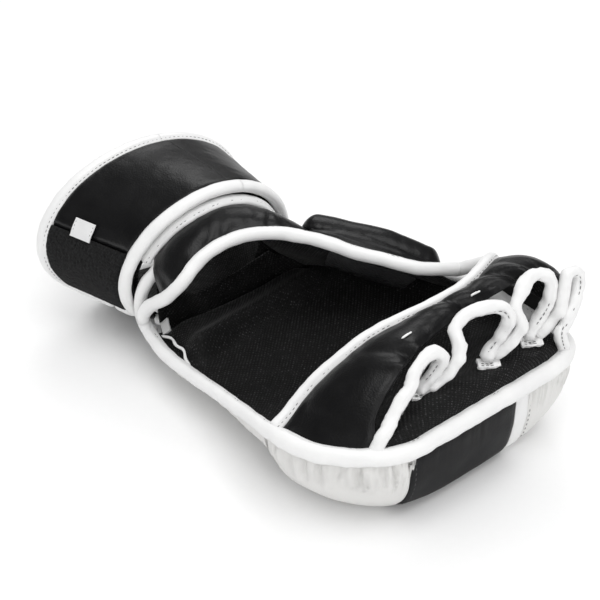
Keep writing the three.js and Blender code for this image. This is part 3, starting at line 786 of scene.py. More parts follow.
def at(line, share):
    """Point of a line at a share of its length."""
    run = run_along(line)
    return sample(run, line, np.clip(share, 0, 1) * run[-1])


def roundness(q, power):
    """Height of a rounded box section at q, from -1 to 1; a higher power is squarer."""
    return (1 - np.minimum(1, np.abs(q)) ** power) ** (1 / power)


def joined(*lines):
    """One line from several that follow each other, without doubled points at the joins."""
    kept = [lines[0][0]]
    for line in lines:
        for p in line:
            if np.linalg.norm(p - kept[-1]) > 2.0 * MM:
                kept.append(p)
    return np.array(kept)


# ---------------------------------------------------------------- lines read from the frame
opening = even(centre_line("opening_binding", toward=THUMBWARD), 1.5 * MM)
pad_rim = even(centre_line("knuckle_rim_binding", toward=THUMBWARD), 1.5 * MM)
thumb_rim = even(centre_line("thumb_side_binding", toward=FINGERWARD), 1.5 * MM)
heel_at = int(np.argmax(opening[:, 0] < opening[:, 0].min() + 3 * MM))
near_hand = opening[: heel_at + 1][::-1]
far_hand = thumb_rim
front_from = int(np.argmax(pad_rim[:, 1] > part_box("knuckle_panel")[0].y - 2 * MM))
front_to = int(np.argmax(pad_rim[:, 1] > 58 * MM))
near_pad = pad_rim[: front_from + 1]
front_pad = pad_rim[front_from: front_to + 1]
far_pad = pad_rim[front_to:][::-1]
FLOOR_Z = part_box("knuckle_panel")[0].z
FLEX_X = JOINT_AT["knuckle_flex"][0]
HEEL_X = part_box("hand_lining")[0].x


def pad_point(u, y):
    """Point level with the rim at station u, 0 flex line and 1 front rim, with the front edge bowed."""
    near, far = at(near_pad, u), at(far_pad, u)
    share = (y - near[..., 1]) / (far[..., 1] - near[..., 1])
    p = lerp(near, far, share[..., None])
    front = at(front_pad, share)
    p[..., 0] += (front[..., 0] - p[..., 0]) * u ** 4
    return p, share


def pad_under(u, y, inset=1 * MM):
    """Outer face of the knuckle pad: a soft box that closes up to the rim."""
    low = at(near_pad, u)[..., 1] + inset
    high = at(far_pad, u)[..., 1] - inset
    p, _ = pad_point(u, np.clip(y, low, high))
    across = (2 * (y - low)) / (high - low) - 1
    top = p[..., 2] - 1.5 * MM
    depth = np.minimum(1, 1.16 * roundness(across, 3.2) * roundness(u, 3.4))
    rear = 5 * MM * (1 - smoothstep(u, 0, 0.2))
    p[..., 2] = lerp(top, FLOOR_Z + rear, depth)
    p[..., 0] -= inset * u
    return p


def pad_lining(u, share, inset=2.2 * MM):
    """Lining of the knuckle pad: a pocket for the fingers and the roll they lie on."""
    near, far = at(near_pad, u), at(far_pad, u)
    y = lerp(near[..., 1] + inset, far[..., 1] - inset, share)
    p, _ = pad_point(u, y)
    p[..., 0] = FLEX_X + (p[..., 0] - FLEX_X) * (1 - inset / (60 * MM))
    pocket = -17 * MM * (1 - smoothstep(u, 0.12, 0.62))
    roll = 9 * MM * smoothstep(u, 0.35, 0.75) * (1 - smoothstep(u, 0.8, 1.12))
    p[..., 2] += pocket * roundness(2 * share - 1, 2.4) + roll * roundness(2 * share - 1, 4.0)
    return p


def hand_lining(t, share, inset=1.6 * MM):
    """Lining under the hand, from the heel at t 0 to the flex line at t 1."""
    near, far = at(near_hand, t), at(far_hand, t)
    edge = inset / (far[..., 1] - near[..., 1])
    p = lerp(near, far, lerp(edge, 1 - edge, share)[..., None])
    p[..., 2] -= lerp(6 * MM, 18 * MM, t) * roundness(2 * share - 1, 2.2)
    p[..., 0] = np.maximum(p[..., 0], HEEL_X)
    return p


def hand_under(t, share):
    """Outer face of the shell behind the hand."""
    near, far = at(near_hand, t), at(far_hand, t)
    p = lerp(near, far, share[..., None])
    side = p[..., 2] - 2 * MM
    p[..., 2] = lerp(side, FLOOR_Z + 5 * MM, roundness(2 * share - 1, 2.8))
    p[..., 0] = np.maximum(p[..., 0], HEEL_X)
    return p


# ---------------------------------------------------------------- rims
def build_rims():
    """The binding round the whole glove in one piece: palm opening, near rim, pad rim, thumb side."""
    meeting = centre_line("palm_rear_binding", toward=THUMBWARD)[-4:-3]
    line = joined(meeting, opening[::-1], pad_rim, thumb_rim[::-1])

    def radius(points):
        front = smoothstep(points[:, 0], -34 * MM, -4 * MM) * (points[:, 2] < 50 * MM)
        return (3.4 + 1.0 * front) * MM

    def groove(points):
        share = np.linspace(0, 1, len(points))
        heel = share[np.argmin(points[:, 0] + 0.3 * points[:, 1])]
        return 24 - 48 * smoothstep(share, heel - 0.01, heel + 0.03)

    nodes = ("opening_binding", "knuckle_rim_binding", "thumb_side_binding")
    binding("rim_binding", line, radius, FACE_UP, groove, 11, FLEX, nodes)


# ---------------------------------------------------------------- knuckle pad and hand shell
def rim_run(points):
    """How far along the pad rim the nearest rim point lies, and how far below it each point is."""
    run = run_along(pad_rim)
    flat = points.reshape(-1, 3)
    gap = np.linalg.norm(flat[:, None, :2] - pad_rim[None, :, :2], axis=2)
    nearest = np.argmin(gap, axis=1)
    drop = pad_rim[nearest, 2] - flat[:, 2]
    return run[nearest].reshape(points.shape[:-1]), drop.reshape(points.shape[:-1])


def crease(turns):
    """Row of rounded folds with sharp valleys between them, one fold per turn, from -1 to 1."""
    return 2 * np.abs(np.sin(math.pi * turns)) ** 0.8 - 1


PAD_OUT = away_from(point(5, 3, 30))
# name, look, first and last CAD node that set its width, gathers, columns, column of the stitching
PAD_PANELS = [
    ("knuckle_corner_pinky", SHADED_PAD_WHITE, None, "knuckle_panel", 1.7, 70, None),
    ("knuckle_panel", GREY, "knuckle_panel", "knuckle_panel", 0.1, 70, 3),
    ("knuckle_accent_band", WHITE, "knuckle_accent_band", "knuckle_accent_band", 0.15, 14, None),
    ("knuckle_corner_index", SHADED_PAD_WHITE, "knuckle_accent_band", None, 1.0, 70, 2),
]


def build_pad():
    """Four panels round the knuckle pad, gathered under the rim and drawn in at their seams."""
    w = np.linspace(0, 1, 90)
    u = np.sin(w * math.pi / 2)[:, None]
    for number, (name, material, low_node, high_node, gather, columns, stitched) in enumerate(PAD_PANELS):
        s = np.linspace(0, 1, columns)[None, :]
        low = at(near_pad, u)[..., 1] + 1 * MM
        high = at(far_pad, u)[..., 1] - 1 * MM
        if name == "knuckle_corner_pinky":
            share = 1 - np.cos(s * math.pi / 2)
            high = np.maximum(low + 1 * MM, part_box(high_node)[0].y)
        elif name == "knuckle_corner_index":
            share = np.sin(s * math.pi / 2)
            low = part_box(low_node)[1].y
        else:
            share = s
            low = np.maximum(low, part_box(low_node)[0].y)
            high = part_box(high_node)[1].y
        y = lerp(low, high, share) + 0 * u
        grid = pad_under(u + 0 * y, y)
        run, drop = rim_run(grid)
        normals = grid_normals(grid, PAD_OUT)
        phase = run + 2.2 * MM * field(grid * (1, 1, 0.3), 22 * MM, 60 + number)
        ripple = crease(phase / (8.5 * MM)) + 0.6 * crease(phase / (5.3 * MM) + 0.4)
        fade = smoothstep(drop, 0, 3 * MM) * (1 - smoothstep(drop, 7 * MM, 25 * MM))
        ease = smoothstep(grid[..., 0], FLEX_X, FLEX_X + 14 * MM)
        move = 1.1 * gather * MM * ripple * fade * ease + 0.05 * MM * field(grid, 12 * MM, 70 + number)
        side = edge_distance(grid, 1)
        move -= 0.7 * MM * np.exp(-(side / (1.6 * MM)) ** 2) * ease
        move += 1.2 * MM * smoothstep(drop, 2 * MM, 9 * MM) * (1 - smoothstep(drop, 18 * MM, 34 * MM)) * ease
        grid = grid + normals * move[..., None]
        grid[..., 2] = np.maximum(grid[..., 2], FLOOR_Z + 0.05 * MM)
        nodes = (name, "knuckle_foam") if name == "knuckle_panel" else (name,)
        sheet(name, grid, PAD_OUT, material, 1.4, FLEX, nodes)
        if stitched:
            out = grid_normals(grid, PAD_OUT)
            thread = SHADED_WHITE_THREAD if material is SHADED_PAD_WHITE else THREAD_DARK
            follow(stitches(f"{name}.thread", grid[2:-2, stitched], out[2:-2, stitched], thread), FLEX)


def build_hand_shell():
    """White shell behind the hand, in one piece."""
    t = np.linspace(0, 1, 80)[:, None]
    s = 0.5 - 0.5 * np.cos(np.linspace(0, 1, 80) * math.pi)[None, :]
    grid = hand_under(t + 0 * s, s + 0 * t)
    rule = away_from(point(-70, 0, 30))
    grid = dress(grid, rule, 80, broad=0.35, fine=0.1, gather=0.35, wave=9, axis=1, pinch=0.0)
    sheet("hand_shell", grid, rule, SHADED_PAD_WHITE, 1.4, FLEX, ("hand_shell", "hand_foam"))


TAB_FROM_HEEL = point(2, 9, -1)


def build_heel_tab():
    """Folded end of the binding lying inside the heel corner, and the bound edge of the lining beside it."""
    v, u = np.meshgrid(np.linspace(-1, 1, 16), np.linspace(-1, 1, 20), indexing="ij")
    middle = near_hand[0] + np.array(TAB_FROM_HEEL)
    forward = np.array([0.75, -0.45, -0.1])
    tab = middle + forward * (5 * MM * u)[..., None] + np.array([0.3, 0.7, 0.45]) * (2.6 * MM * v)[..., None]
    tab[..., 2] += 0.5 * MM * np.cos(2 * u) + 0.2 * MM * field(tab, 6 * MM, 96)
    sheet("heel_tab", tab, FACE_UP, WHITE, 1.2, WRIST, ())
    shares = np.linspace(0.07, 0.34, 24)
    aside = 7.5 * MM * np.sin(math.pi * (shares - 0.02) / 0.33) ** 0.6 + 0.6 * MM * np.sin(60 * shares)
    line = even(at(near_hand, shares) + np.array([0, 1, 0.25]) * aside[:, None], 1.2 * MM)
    follow(cord("lining_edge", line, 0.8 * MM, FACE_UP, WHITE, 97, sides=10, pucker=0.08), FLEX)


def build_lining():
    """Mesh lining from the heel to the front rim in one piece, dipped for the hand, raised over the rolls."""
    s = np.linspace(0, 1, 110)[None, :]
    t = np.linspace(0, 1, 90)[:, None]
    u = np.linspace(0, 1, 70)[1:, None]
    hand = hand_lining(t + 0 * s, s + 0 * t)
    pad = pad_lining(np.sin(u * math.pi / 2) + 0 * s, s + 0 * u)
    grid = relax(np.concatenate([hand, pad]), 40)
    away = rim_distance(grid)
    sag = 0.9 * MM * field(grid, 45 * MM, 90) + 0.25 * MM * field(grid, 12 * MM, 91)
    grid[..., 2] += sag * smoothstep(away, 2 * MM, 14 * MM)
    roll = even(centre_line("padding_roll", toward=THUMBWARD), 1.5 * MM)
    roll_x = np.interp(grid[..., 1], roll[:, 1], roll[:, 0])
    roll_top = np.interp(grid[..., 1], roll[:, 1], roll[:, 2]) + 4 * MM
    ahead = (grid[..., 0] - roll_x) / MM
    before = np.exp(-(np.maximum(ahead, 0) / 5) ** 2)
    behind = 0.55 + 0.45 * np.exp(-(ahead / 6) ** 2)
    crest = np.where(ahead > 0, before, behind)
    inside = smoothstep(edge_distance(grid, 1), 2 * MM, 16 * MM)
    inside = inside * smoothstep(edge_distance(grid, 0), 0, 6 * MM)
    grid[..., 2] += np.maximum(roll_top - grid[..., 2], 0) * crest * inside * (ahead < 20)
    nodes = ("hand_lining", "knuckle_lining", "padding_roll")
    sheet("palm_lining", grid, FACE_UP, MESH, 1.0, FLEX, nodes)


# ---------------------------------------------------------------- palm band and finger openings
TIE_FROM_TONGUE = point(-12, 2, 0)
# for each fold, in millimetres: y from the tongue end, drift in y, reach back, width and height
PLEAT = [(0, -12, 19, 1.5, -3.0), (4, -6, 15, 1.8, 2.7), (-4, -14, 16, 1.6, 2.0), (10, -1, 12, 1.8, -1.4)]


def pleat_folds():
    """The palm band is gathered into one pleat of four folds behind each tongue end."""
    folds = []
    for k in range(1, 4):
        y = middle_of(f"finger_tongue_end_{k}")[1] / MM
        for shift, drift, reach, width, height in PLEAT:
            folds.append((y + shift, y + shift + drift, reach, width, height))
    return folds


def build_palm_band():
    """The band over the palm: leather with pleats, its lining, two ties and the rear binding."""
    grid = grid_of("palm_band", (-1, 0, 0), (0, 1, 0), FACE_UP)
    grid = np.concatenate([rim_beside(grid[:, 0]), grid, rim_beside(grid[:, -1])], axis=1)
    grid = grow(refine(grid, 60, 200), 3, 2.5)
    rule = away_from(point(5, 10, 20))
    grid = dress(grid, rule, 110, broad=0.45, fine=0.04, gather=0.18, wave=13, axis=0, reach=7)
    normals = grid_normals(grid, rule)
    pleats = fold_lines(grid, pleat_folds())
    grid = grid + normals * pleats[..., None]
    sheet("palm_band", grid, rule, BLACK, 1.4, "knuckle_section")
    ties = []
    for number in range(2):
        spot = middle_of(f"finger_tongue_end_{number + 1}") + np.array(TIE_FROM_TONGUE)
        gap = np.linalg.norm(grid[..., :2] - spot[:2], axis=2)
        i, j = np.unravel_index(np.argmin(gap), gap.shape)
        curl = grid[i - 1: i + 2, j - 3: j + 4: 2].reshape(-1, 3)[[3, 4, 5, 6, 10]] + normals[i, j] * 0.5 * MM
        hint = lambda line, up=normals[i, j]: np.tile(up, (len(line), 1))
        name = f"palm_band.tie_{number}"
        ties.append(cord(name, even(curl, 0.5 * MM), 0.45 * MM, hint, WHITE, 117, sides=8))
    follow(ties, "knuckle_section")
    under = refine(grid_of("palm_band_lining", (-1, 0, 0), (0, 1, 0), FACE_DOWN), 30, 100)
    under = grow(under, 2, 2)
    sheet("palm_band_lining", under, FACE_DOWN, MESH, 0.8, "knuckle_section")
    line = centre_line("palm_rear_binding", toward=THUMBWARD)
    line = np.concatenate([rim_beside(line[:1])[:, 0], line, rim_beside(line[-1:])[:, 0]])
    binding("palm_rear_binding", line, 3.3 * MM, FACE_UP, 46, 120, "knuckle_section")


def rim_beside(edge):
    """One more column for a sheet edge: the points of the pad rim beside it, a little inside the binding."""
    out = []
    for p in edge:
        near = pad_rim[np.argmin(np.abs(pad_rim[:, 0] - p[0]) + 9 * (pad_rim[:, 1] * p[1] < 0))]
        out.append(near + (0, 0, 1.0 * MM))
    return np.array(out)[:, None, :]


def fold_lines(grid, folds):
    """Height of the short soft folds across the band: y at front and rear end, x reach, width, height."""
    move = np.zeros(grid.shape[:2])
    front = grid[..., 0].max() / MM
    for y_front, y_rear, reach, width, height in folds:
        back = (front - grid[..., 0] / MM) / reach
        centre = y_front + (y_rear - y_front) * np.clip(back, 0, 2) * 0.7
        gap = (grid[..., 1] / MM - centre) / (width * (1 + 0.6 * back))
        move += height * MM * np.exp(-gap ** 2) * np.exp(-np.clip(back, 0, 9) ** 2)
    return move


def arch_line(k):
    """Centre line of one finger-opening binding, its feet drawn onto the tongue ends or the rim."""
    line = even(centre_line(f"finger_arch_binding_{k}", toward=THUMBWARD), 2.5 * MM)
    run = run_along(line)
    feet = []
    if k > 1:
        feet.append((middle_of(f"finger_tongue_end_{k - 1}") + np.array([0.4, 2.7, 2.6]) * MM, run, 0))
    if k < 4:
        foot = middle_of(f"finger_tongue_end_{k}") + np.array([-0.4, -2.7, 2.6]) * MM
        feet.append((foot, run[-1] - run, -1))
    for foot, distance, end in feet:
        pull = np.clip(1 - distance / (16 * MM), 0, 1) ** 1.5
        line = line + pull[:, None] * (foot - line[end])
    if k == 1:
        line = np.concatenate([rim_beside(line[:1])[:, 0] - (0, 0, 2 * MM), line])
    if k == 4:
        line = np.concatenate([line, rim_beside(line[-1:])[:, 0] - (0, 0, 2 * MM)])
    return line


def build_finger_openings():
    """Four bindings standing as arches, and the three tongue ends stitched down between them."""
    for k in range(1, 5):
        name = f"finger_arch_binding_{k}"
        binding(name, arch_line(k), 3.1 * MM, away_from(point(-60, 10, 40)), 62, 130 + k, "knuckle_section",
                pucker=0.10)
    for k in range(1, 4):
        build_tongue_end(k)


def build_tongue_end(k):
    """Flattened raw end of a tongue, frayed at its edge and held down by two rows of thread."""
    name = f"finger_tongue_end_{k}"
    middle = middle_of(name)
    v, u = np.meshgrid(np.linspace(-1, 1, 40), np.linspace(-1, 1, 22), indexing="ij")
    forward = np.array([0.81, -0.58, 0.0])
    across = np.array([0.58, 0.81, 0.0])
    flat = np.stack([u, v, 0 * u], -1) * 6 * MM
    frayed = 1 + 0.05 * field(flat * (0.3, 1, 1), 2.4 * MM, 140 + k) * (u > 0)
    tab = middle + forward * (2.5 * MM * u * frayed + 1.4 * MM)[..., None]
    tab = tab + across * (5.2 * MM * v)[..., None]
    puff = 1.4 * (1 - u) / 2 + 0.12 * field(flat, 4 * MM, 145 + k) + 0.9 * np.abs(v) ** 0.6
    tab[..., 2] = middle[2] + (puff + 0.5) * MM
    rule = FACE_UP
    sheet(name, tab, rule, WHITE, 1.3, "knuckle_section")
    rows = []
    for column, colour in ((12, THREAD_DARK), (16, SHADED_WHITE_THREAD)):
        rows.append(stitches(f"{name}.thread_{column}", tab[:, column], rule(tab), colour, step=2.2 * MM,
                             length=1.7 * MM, radius=0.3 * MM))
    follow(rows, "knuckle_section")


# ---------------------------------------------------------------- heel, wrist and thumb panels
def panel(name, outward, ends, size, how, seed, material=None, lined=False, across=THUMBWARD, **dressing):
    """A leather panel read from the frame, tucked under its bindings and dressed, with a lining if asked."""
    grid = refine(grid_of(name, FINGERWARD, across, outward), *size)
    if lined:
        inside = grow(grid - grid_normals(grid, outward) * 3.2 * MM, 10, 1.5, *ends[2:])
        inside = dress(inside, outward, seed + 3, broad=0.6, fine=0.08, pinch=0.0)
        sheet(f"{name}.lining", inside, inside_of(outward), MESH, 0.8, how, ())
    grid = dress(grow(grid, *ends), outward, seed, **dressing)
    sheet(name, grid, outward, material or BLACK, 1.4, how)


def build_wrist():
    """Gusset, thumb root and back panels, and the binding along the lower edge with its turned end."""
    panel("heel_gusset", away_from(point(-115, 0, 20)), (4, 3, 4, 9), (70, 140), WRIST, 150, lined=True,
          broad=0.55, fine=0.05, gather=0.25, wave=13, axis=0, reach=8)
    panel("thumb_root_panel", away_from(point(-115, 0, 45)), (4, 4, 3, 14), (50, 70), WRIST, 155, lined=True,
          broad=0.5, fine=0.05, gather=0.2, wave=11, axis=0)
    panel("wrist_back_panel", FACE_DOWN, (4, 6, 3, 8), (50, 110), WRIST, 160, WHITE,
          broad=0.3, fine=0.1, gather=0.5, wave=6, axis=0)
    line = centre_line("wrist_edge_binding", toward=(0, 0, -1))
    turned = line[0] + np.array([[7.0, 4.5, 0.5], [3.0, 2.0, 1.5]]) * MM
    line = np.concatenate([turned, line])
    binding("wrist_edge_binding", line, 3.2 * MM, away_from(point(-120, 0, 30)), 60, 165, WRIST, pucker=0.035)


def build_inner_walls():
    """Lining inside the wrist panel, and the inner wall of the thumb side under the opening binding."""
    back = grid_of("wrist_back_panel", FINGERWARD, THUMBWARD, FACE_UP)
    back = refine(back, 40, 90)
    lift = 2.6 * MM + 0.25 * MM * field(back, 14 * MM, 166)
    back = back + grid_normals(back, FACE_UP) * lift[..., None]
    back = grow(back, 10, 2, 8, 12)
    sheet("wrist_back_lining", back, FACE_UP, MESH, 0.9, WRIST, ())
    far_part = opening[(opening[:, 1] > -4 * MM) & (opening[:, 0] < -30 * MM)]
    share = np.linspace(0, 1, 90)
    top = at(far_part, share)
    bottom = at(far_hand, share) + np.array([0, -4.2, -3.0]) * MM
    s = np.linspace(0, 1, 40)[None, :, None]
    wall = top[:, None] * (1 - s) + bottom[:, None] * s
    wall[..., 1] -= 3 * MM * np.sin(math.pi * s[..., 0])
    wall = dress(wall, away_from(point(-70, 80, 60)), 168, broad=0.7, fine=0.06, gather=0.3, wave=12, axis=1)
    sheet("thumb_inner_wall", wall, away_from(point(-70, 120, 60)), MESH, 0.9, FLEX, ())


def sections(node, start, end, count):
    """Centre and half sizes of a CAD node cut by upright planes spread from start to end."""
    points, faces = welded(node)
    start, end = np.array(start, float), np.array(end, float)
    way = unit((end - start) * (1, 1, 0))
    side = np.array([-way[1], way[0], 0])
    edges = {tuple(sorted((f[k], f[(k + 1) % 3]))) for f in faces for k in range(3)}
    a = points[[e[0] for e in edges]]
    b = points[[e[1] for e in edges]]
    centres, widths, heights = [], [], []
    for share in np.linspace(0, 1, count):
        origin = lerp(start, end, share)
        da, db = (a - origin) @ way, (b - origin) @ way
        cut = (da * db) < 0
        hit = a[cut] + (b - a)[cut] * (da / (da - db))[cut][:, None]
        across = hit @ side
        centre = origin - (origin @ side) * side + side * (across.max() + across.min()) / 2
        centre[2] = (hit[:, 2].max() + hit[:, 2].min()) / 2
        centres.append(centre)
        widths.append((across.max() - across.min()) / 2)
        heights.append((hit[:, 2].max() - hit[:, 2].min()) / 2)
    return np.array(centres), np.array(widths), np.array(heights), side


GUARD_SWING = ("hand_section", "thumb_guard")


def build_thumb_guard():
    """Padded roll over the thumb: foam and cover as one soft skin with a raised double seam along its top."""
    low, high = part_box("thumb_guard_foam")
    start = Vector((low.x + 1.5 * MM, low.y + 9 * MM, high.z))
    end = Vector((high.x - 1.5 * MM, high.y - 4 * MM, high.z))
    centres, widths, heights, side = sections("thumb_guard_foam", start, end, 14)
    body = refine(np.stack([centres, np.stack([widths, heights, 0 * widths], -1)], 1), 90, 2)
    centres, sizes = body[:, 0], body[:, 1]
    count = 72
    angle = np.linspace(0, 2 * math.pi, count, endpoint=False)[None, :]
    cover = 3.4 * MM
    way = unit(centres[-1] - centres[0])
    share = np.linspace(0, 1, len(centres))[:, None]
    centres = centres + way * lerp(-3.5 * MM, 7 * MM, share)
    sizes = sizes * (1 - 0.25 * share ** 2)
    close = np.sqrt(np.clip(1 - (1 - np.clip(np.minimum(share, 1 - share) / 0.10, 0, 1)) ** 2.2, 0.03, 1))
    out = (sizes[:, :1] + cover) * close
    up = (sizes[:, 1:2] + cover) * close
    grid = centres[:, None, :] + side * (out * np.cos(angle))[..., None]
    grid[..., 2] += up * np.sin(angle)
    normal = unit(grid - centres[:, None, :])
    move = 0.3 * MM * field(grid, 34 * MM, 170) + 0.03 * MM * field(grid, 8 * MM, 171)
    degrees = np.degrees(angle)
    seam = 146 + 8 * (share - 0.5)
    gap = (degrees - seam) * math.pi / 180 * (sizes[:, 1:2] + cover)
    run = share * np.linalg.norm(centres[-1] - centres[0])
    move -= 0.9 * MM * np.exp(-(gap / (1.1 * MM)) ** 2)
    ripple = np.sin(2 * math.pi * run / (6.5 * MM) + 1.5 * field(grid, 18 * MM, 172))
    move += 0.16 * MM * ripple * np.exp(-np.abs(gap) / (5 * MM))
    grid = grid + normal * (move * close)[..., None]
    faces = ring_faces(len(centres), count, turned=True)
    obj = make_mesh("thumb_guard_cover", grid.reshape(-1, 3), faces)
    obj.data.materials.append(BLACK)
    follow(obj, "thumb_guard", ("thumb_guard_cover", "thumb_guard_foam"))
    rows_of_thread = []
    for k, shift in enumerate((-7, 7)):
        turn = np.radians(seam[:, 0] + shift)
        line = centres + side * (out[:, 0] * np.cos(turn))[:, None]
        line[:, 2] += up[:, 0] * np.sin(turn)
        way_out = unit(line - centres)
        keep = slice(6, -6)
        name = f"thumb_guard_cover.thread_{k}"
        rows_of_thread.append(stitches(name, line[keep], way_out[keep], THREAD_DARK))
    follow(rows_of_thread, "thumb_guard")
    panel("thumb_web_panel", away_from(point(-70, 20, 30)), (3, 4, 3, 3), (60, 60), web_blend(), 180,
          broad=0.4, fine=0.05, gather=0.25, wave=11, axis=1)
    panel("thumb_side_panel", away_from(point(-70, 0, 40)), (3, 3, 3, 4), (80, 60), side_blend(), 185,
          across=(0, 0, 1), broad=0.5, fine=0.05, gather=0.25, wave=11, axis=1)
    rule = away_from(point(-60, 0, 20))
    loop = refine(grid_of("thumb_loop", FINGERWARD, THUMBWARD, rule), 60, 50)
    loop = dress(loop, rule, 190, broad=0.5, fine=0.1, pinch=0.3)
    sheet("thumb_loop", loop, rule, PEBBLE, 1.4, "thumb_guard")
    inward = inside_of(rule)
    inner = refine(grid_of("thumb_loop_lining", FINGERWARD, THUMBWARD, inward), 60, 50)
    inner = dress(grow(inner, 0, 0, 0, 3), inward, 195, broad=0.5, fine=0.1, pinch=0.3)
    sheet("thumb_loop_lining", inner, inward, LIT_LOOP_LINING, 0.8, "thumb_guard")


def web_blend():
    """Hand and guard bodies, with a stretch that runs from the opening binding out across the web panel."""
    middle = middle_of("thumb_web_panel")
    near = opening[np.argmin(np.linalg.norm((opening - middle) * (1, 1, 0), axis=1))]
    return (*GUARD_SWING, tuple(near), tuple(near + 2 * (middle - near) * (1, 1, 0)))


def side_blend():
    """Hand and guard bodies, with a stretch that runs up the side panel from near its bottom to near its top.
    """
    low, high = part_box("thumb_side_panel")
    return (*GUARD_SWING, (0, 0, low.z + 2 * MM), (0, 0, high.z - 1 * MM))


# ---------------------------------------------------------------- cuff
AXIS_POINT = point(0, 0, 45)
FROM_WRIST = away_from(AXIS_POINT, (0, 1, 1))
TO_WRIST = inside_of(FROM_WRIST)


def around(node, across, outward=True):
    """Cuff or strap sheet: rows across the width, toward the fingers, and columns round the wrist."""
    return grid_of(node, FINGERWARD, across, FROM_WRIST if outward else TO_WRIST)


def build_cuff():
    """Leather outside, mesh inside, and a flattened binding round each of the two rims."""
    cover = grow(refine(around("cuff_cover", THUMBWARD), 40, 300), 3, 3, 1.5, 1.5)
    cover = dress(cover, FROM_WRIST, 200, broad=0.5, fine=0.08, gather=0.3, wave=9, axis=0, pinch=0.5)
    sheet("cuff_cover", cover, FROM_WRIST, BLACK, 1.4, "cuff", ("cuff_cover", "cuff_foam"))
    lining = grow(refine(around("cuff_lining", THUMBWARD, False), 40, 300), 2, 2)
    lining = grow(dress(lining, TO_WRIST, 205, broad=0.4, fine=0.1, pinch=0.4), 0, 0, 0, 5)
    sheet("cuff_lining", lining, TO_WRIST, MESH, 1.0, "cuff")
    for seed, name, groove in ((210, "cuff_hand_binding", 55), (211, "cuff_rim_binding", -55)):
        line = centre_line(name, toward=THUMBWARD)
        binding(name, line, 3.7 * MM, FROM_WRIST, groove, seed, "cuff", flat=0.8)


# ---------------------------------------------------------------- closing strap
def split_of(grid_or_line):
    """Number of the station nearest the middle of the strap's middle span."""
    centre = (JOINT_AT["strap_fold_1"] + JOINT_AT["strap_fold_2"]) / 2
    stations = grid_or_line.mean(0) if grid_or_line.ndim == 3 else grid_or_line
    flat = (stations - centre) * (0, 1, 1)
    above = stations[:, 2] > middle_of("strap_middle_leather")[2]
    return int(np.argmin(np.where(above, np.abs(flat[:, 1]), 9)))


def strap_layer(parts, material, names, outward, seed, **dressing):
    """One layer of the strap, run through all its spans, cut at mid span into two pieces."""
    face = FROM_WRIST if outward else TO_WRIST
    ways = {"strap_root": (0, 1, 0), "strap_middle": (0, -1, 0), "strap_end": (0, -0.7, -0.7)}
    grids = [around(node, ways["_".join(node.split("_")[:2])], outward) for node in parts]
    whole = np.concatenate([g if k == 0 else g[:, 1:] for k, g in enumerate(grids)], axis=1)
    whole = grow(refine(whole, 40, 12 * whole.shape[1]), 2.6, 2.6)
    whole = dress(whole, face, seed, **dressing)
    cut = split_of(whole)
    thick = 1.3 if outward else 0.9
    lip = whole[:, : cut + 4].copy()
    lip[:, cut + 1:] -= grid_normals(whole, face)[:, cut + 1: cut + 4] * 0.12 * MM
    sheet(names[0], lip, face, material, thick, FOLD_1, (parts[0],))
    sheet(names[1], whole[:, cut:], face, material, thick, FOLD_2, tuple(parts[1:]))


def build_strap():
    """Leather, lining, the two halves of the fastening, and a binding along each long edge."""
    strap_layer(["strap_root_leather", "strap_middle_leather", "strap_end_leather"], BLACK,
                ("strap_leather_root_side", "strap_leather_end_side"), True, 220,
                broad=0.35, fine=0.04, gather=0.12, wave=12, axis=0, reach=5, pinch=1.7)
    strap_layer(["strap_root_lining", "strap_middle_lining", "strap_end_lining"], MESH,
                ("strap_lining_root_side", "strap_lining_end_side"), False, 225,
                broad=0.2, fine=0.06, pinch=0.2)
    patch = refine(around("strap_end_loop_patch", (0, -0.4, -0.9)), 90, 150)
    patch = grow(patch, 2.6, 2.6, 0.4, 3)
    normals = grid_normals(patch, FROM_WRIST)
    tufts = 0.10 * field(patch, 1.4 * MM, 230) + 0.04 * field(patch, 4.5 * MM, 231)
    away = rim_distance(patch)
    sides = np.exp(-(edge_distance(patch, 0) / (2 * MM)) ** 2)
    rise = (tufts + 0.4) * smoothstep(away, 0, 1.5 * MM) - 0.3 - 1.6 * sides
    patch = patch + normals * (rise * MM)[..., None]
    sheet("strap_loop_patch", patch, FROM_WRIST, PILE, 1.2, "strap_end", ("strap_end_loop_patch",))
    hooks = refine(around("strap_end_hook_patch", (0, -0.4, -0.9), False), 60, 80)
    hooks = hooks + grid_normals(hooks, TO_WRIST) * (0.25 * MM * field(hooks, 2.2 * MM, 235))[..., None]
    sheet("strap_hook_patch", hooks, TO_WRIST, HOOK, 0.9, "strap_end", ("strap_end_hook_patch",))

    end = centre_line("strap_end_binding", toward=FINGERWARD)
    turn = tip_of(end)
    rim_end, hand_end = end[: turn + 1], end[turn:][::-1]
    for edge, groove in (("rim", -52), ("hand", 52)):
        root = centre_line(f"strap_root_{edge}_binding", toward=THUMBWARD)
        middle = centre_line(f"strap_middle_{edge}_binding", toward=(0, -1, 0))
        tail = rim_end if edge == "rim" else hand_end
        line = even(joined(root, middle, tail), 1.4 * MM)
        cut = split_of(line)
        lipped = lambda row: (3.8 - 0.15 * (np.arange(len(row)) > len(row) - 4)) * MM
        name = f"strap_binding_{edge}"
        nodes = (f"strap_middle_{edge}_binding",) + (("strap_end_binding",) if edge == "rim" else ())
        binding(f"{name}_root_side", line[: cut + 4], lipped, FROM_WRIST, groove, 240, FOLD_1,
                (f"strap_root_{edge}_binding",), flat=0.8, closed=(True, False))
        binding(f"{name}_end_side", line[cut:], 3.8 * MM, FROM_WRIST, groove, 240, FOLD_2,
                nodes, flat=0.8, closed=(False, True))
    build_label()


def tip_of(end):
    """Station half way along the end of the strap, where the binding turns from one edge to the other."""
    middle_x = (end[0, 0] + end[-1, 0]) / 2
    return int(np.argmax(end[:, 0] > middle_x))


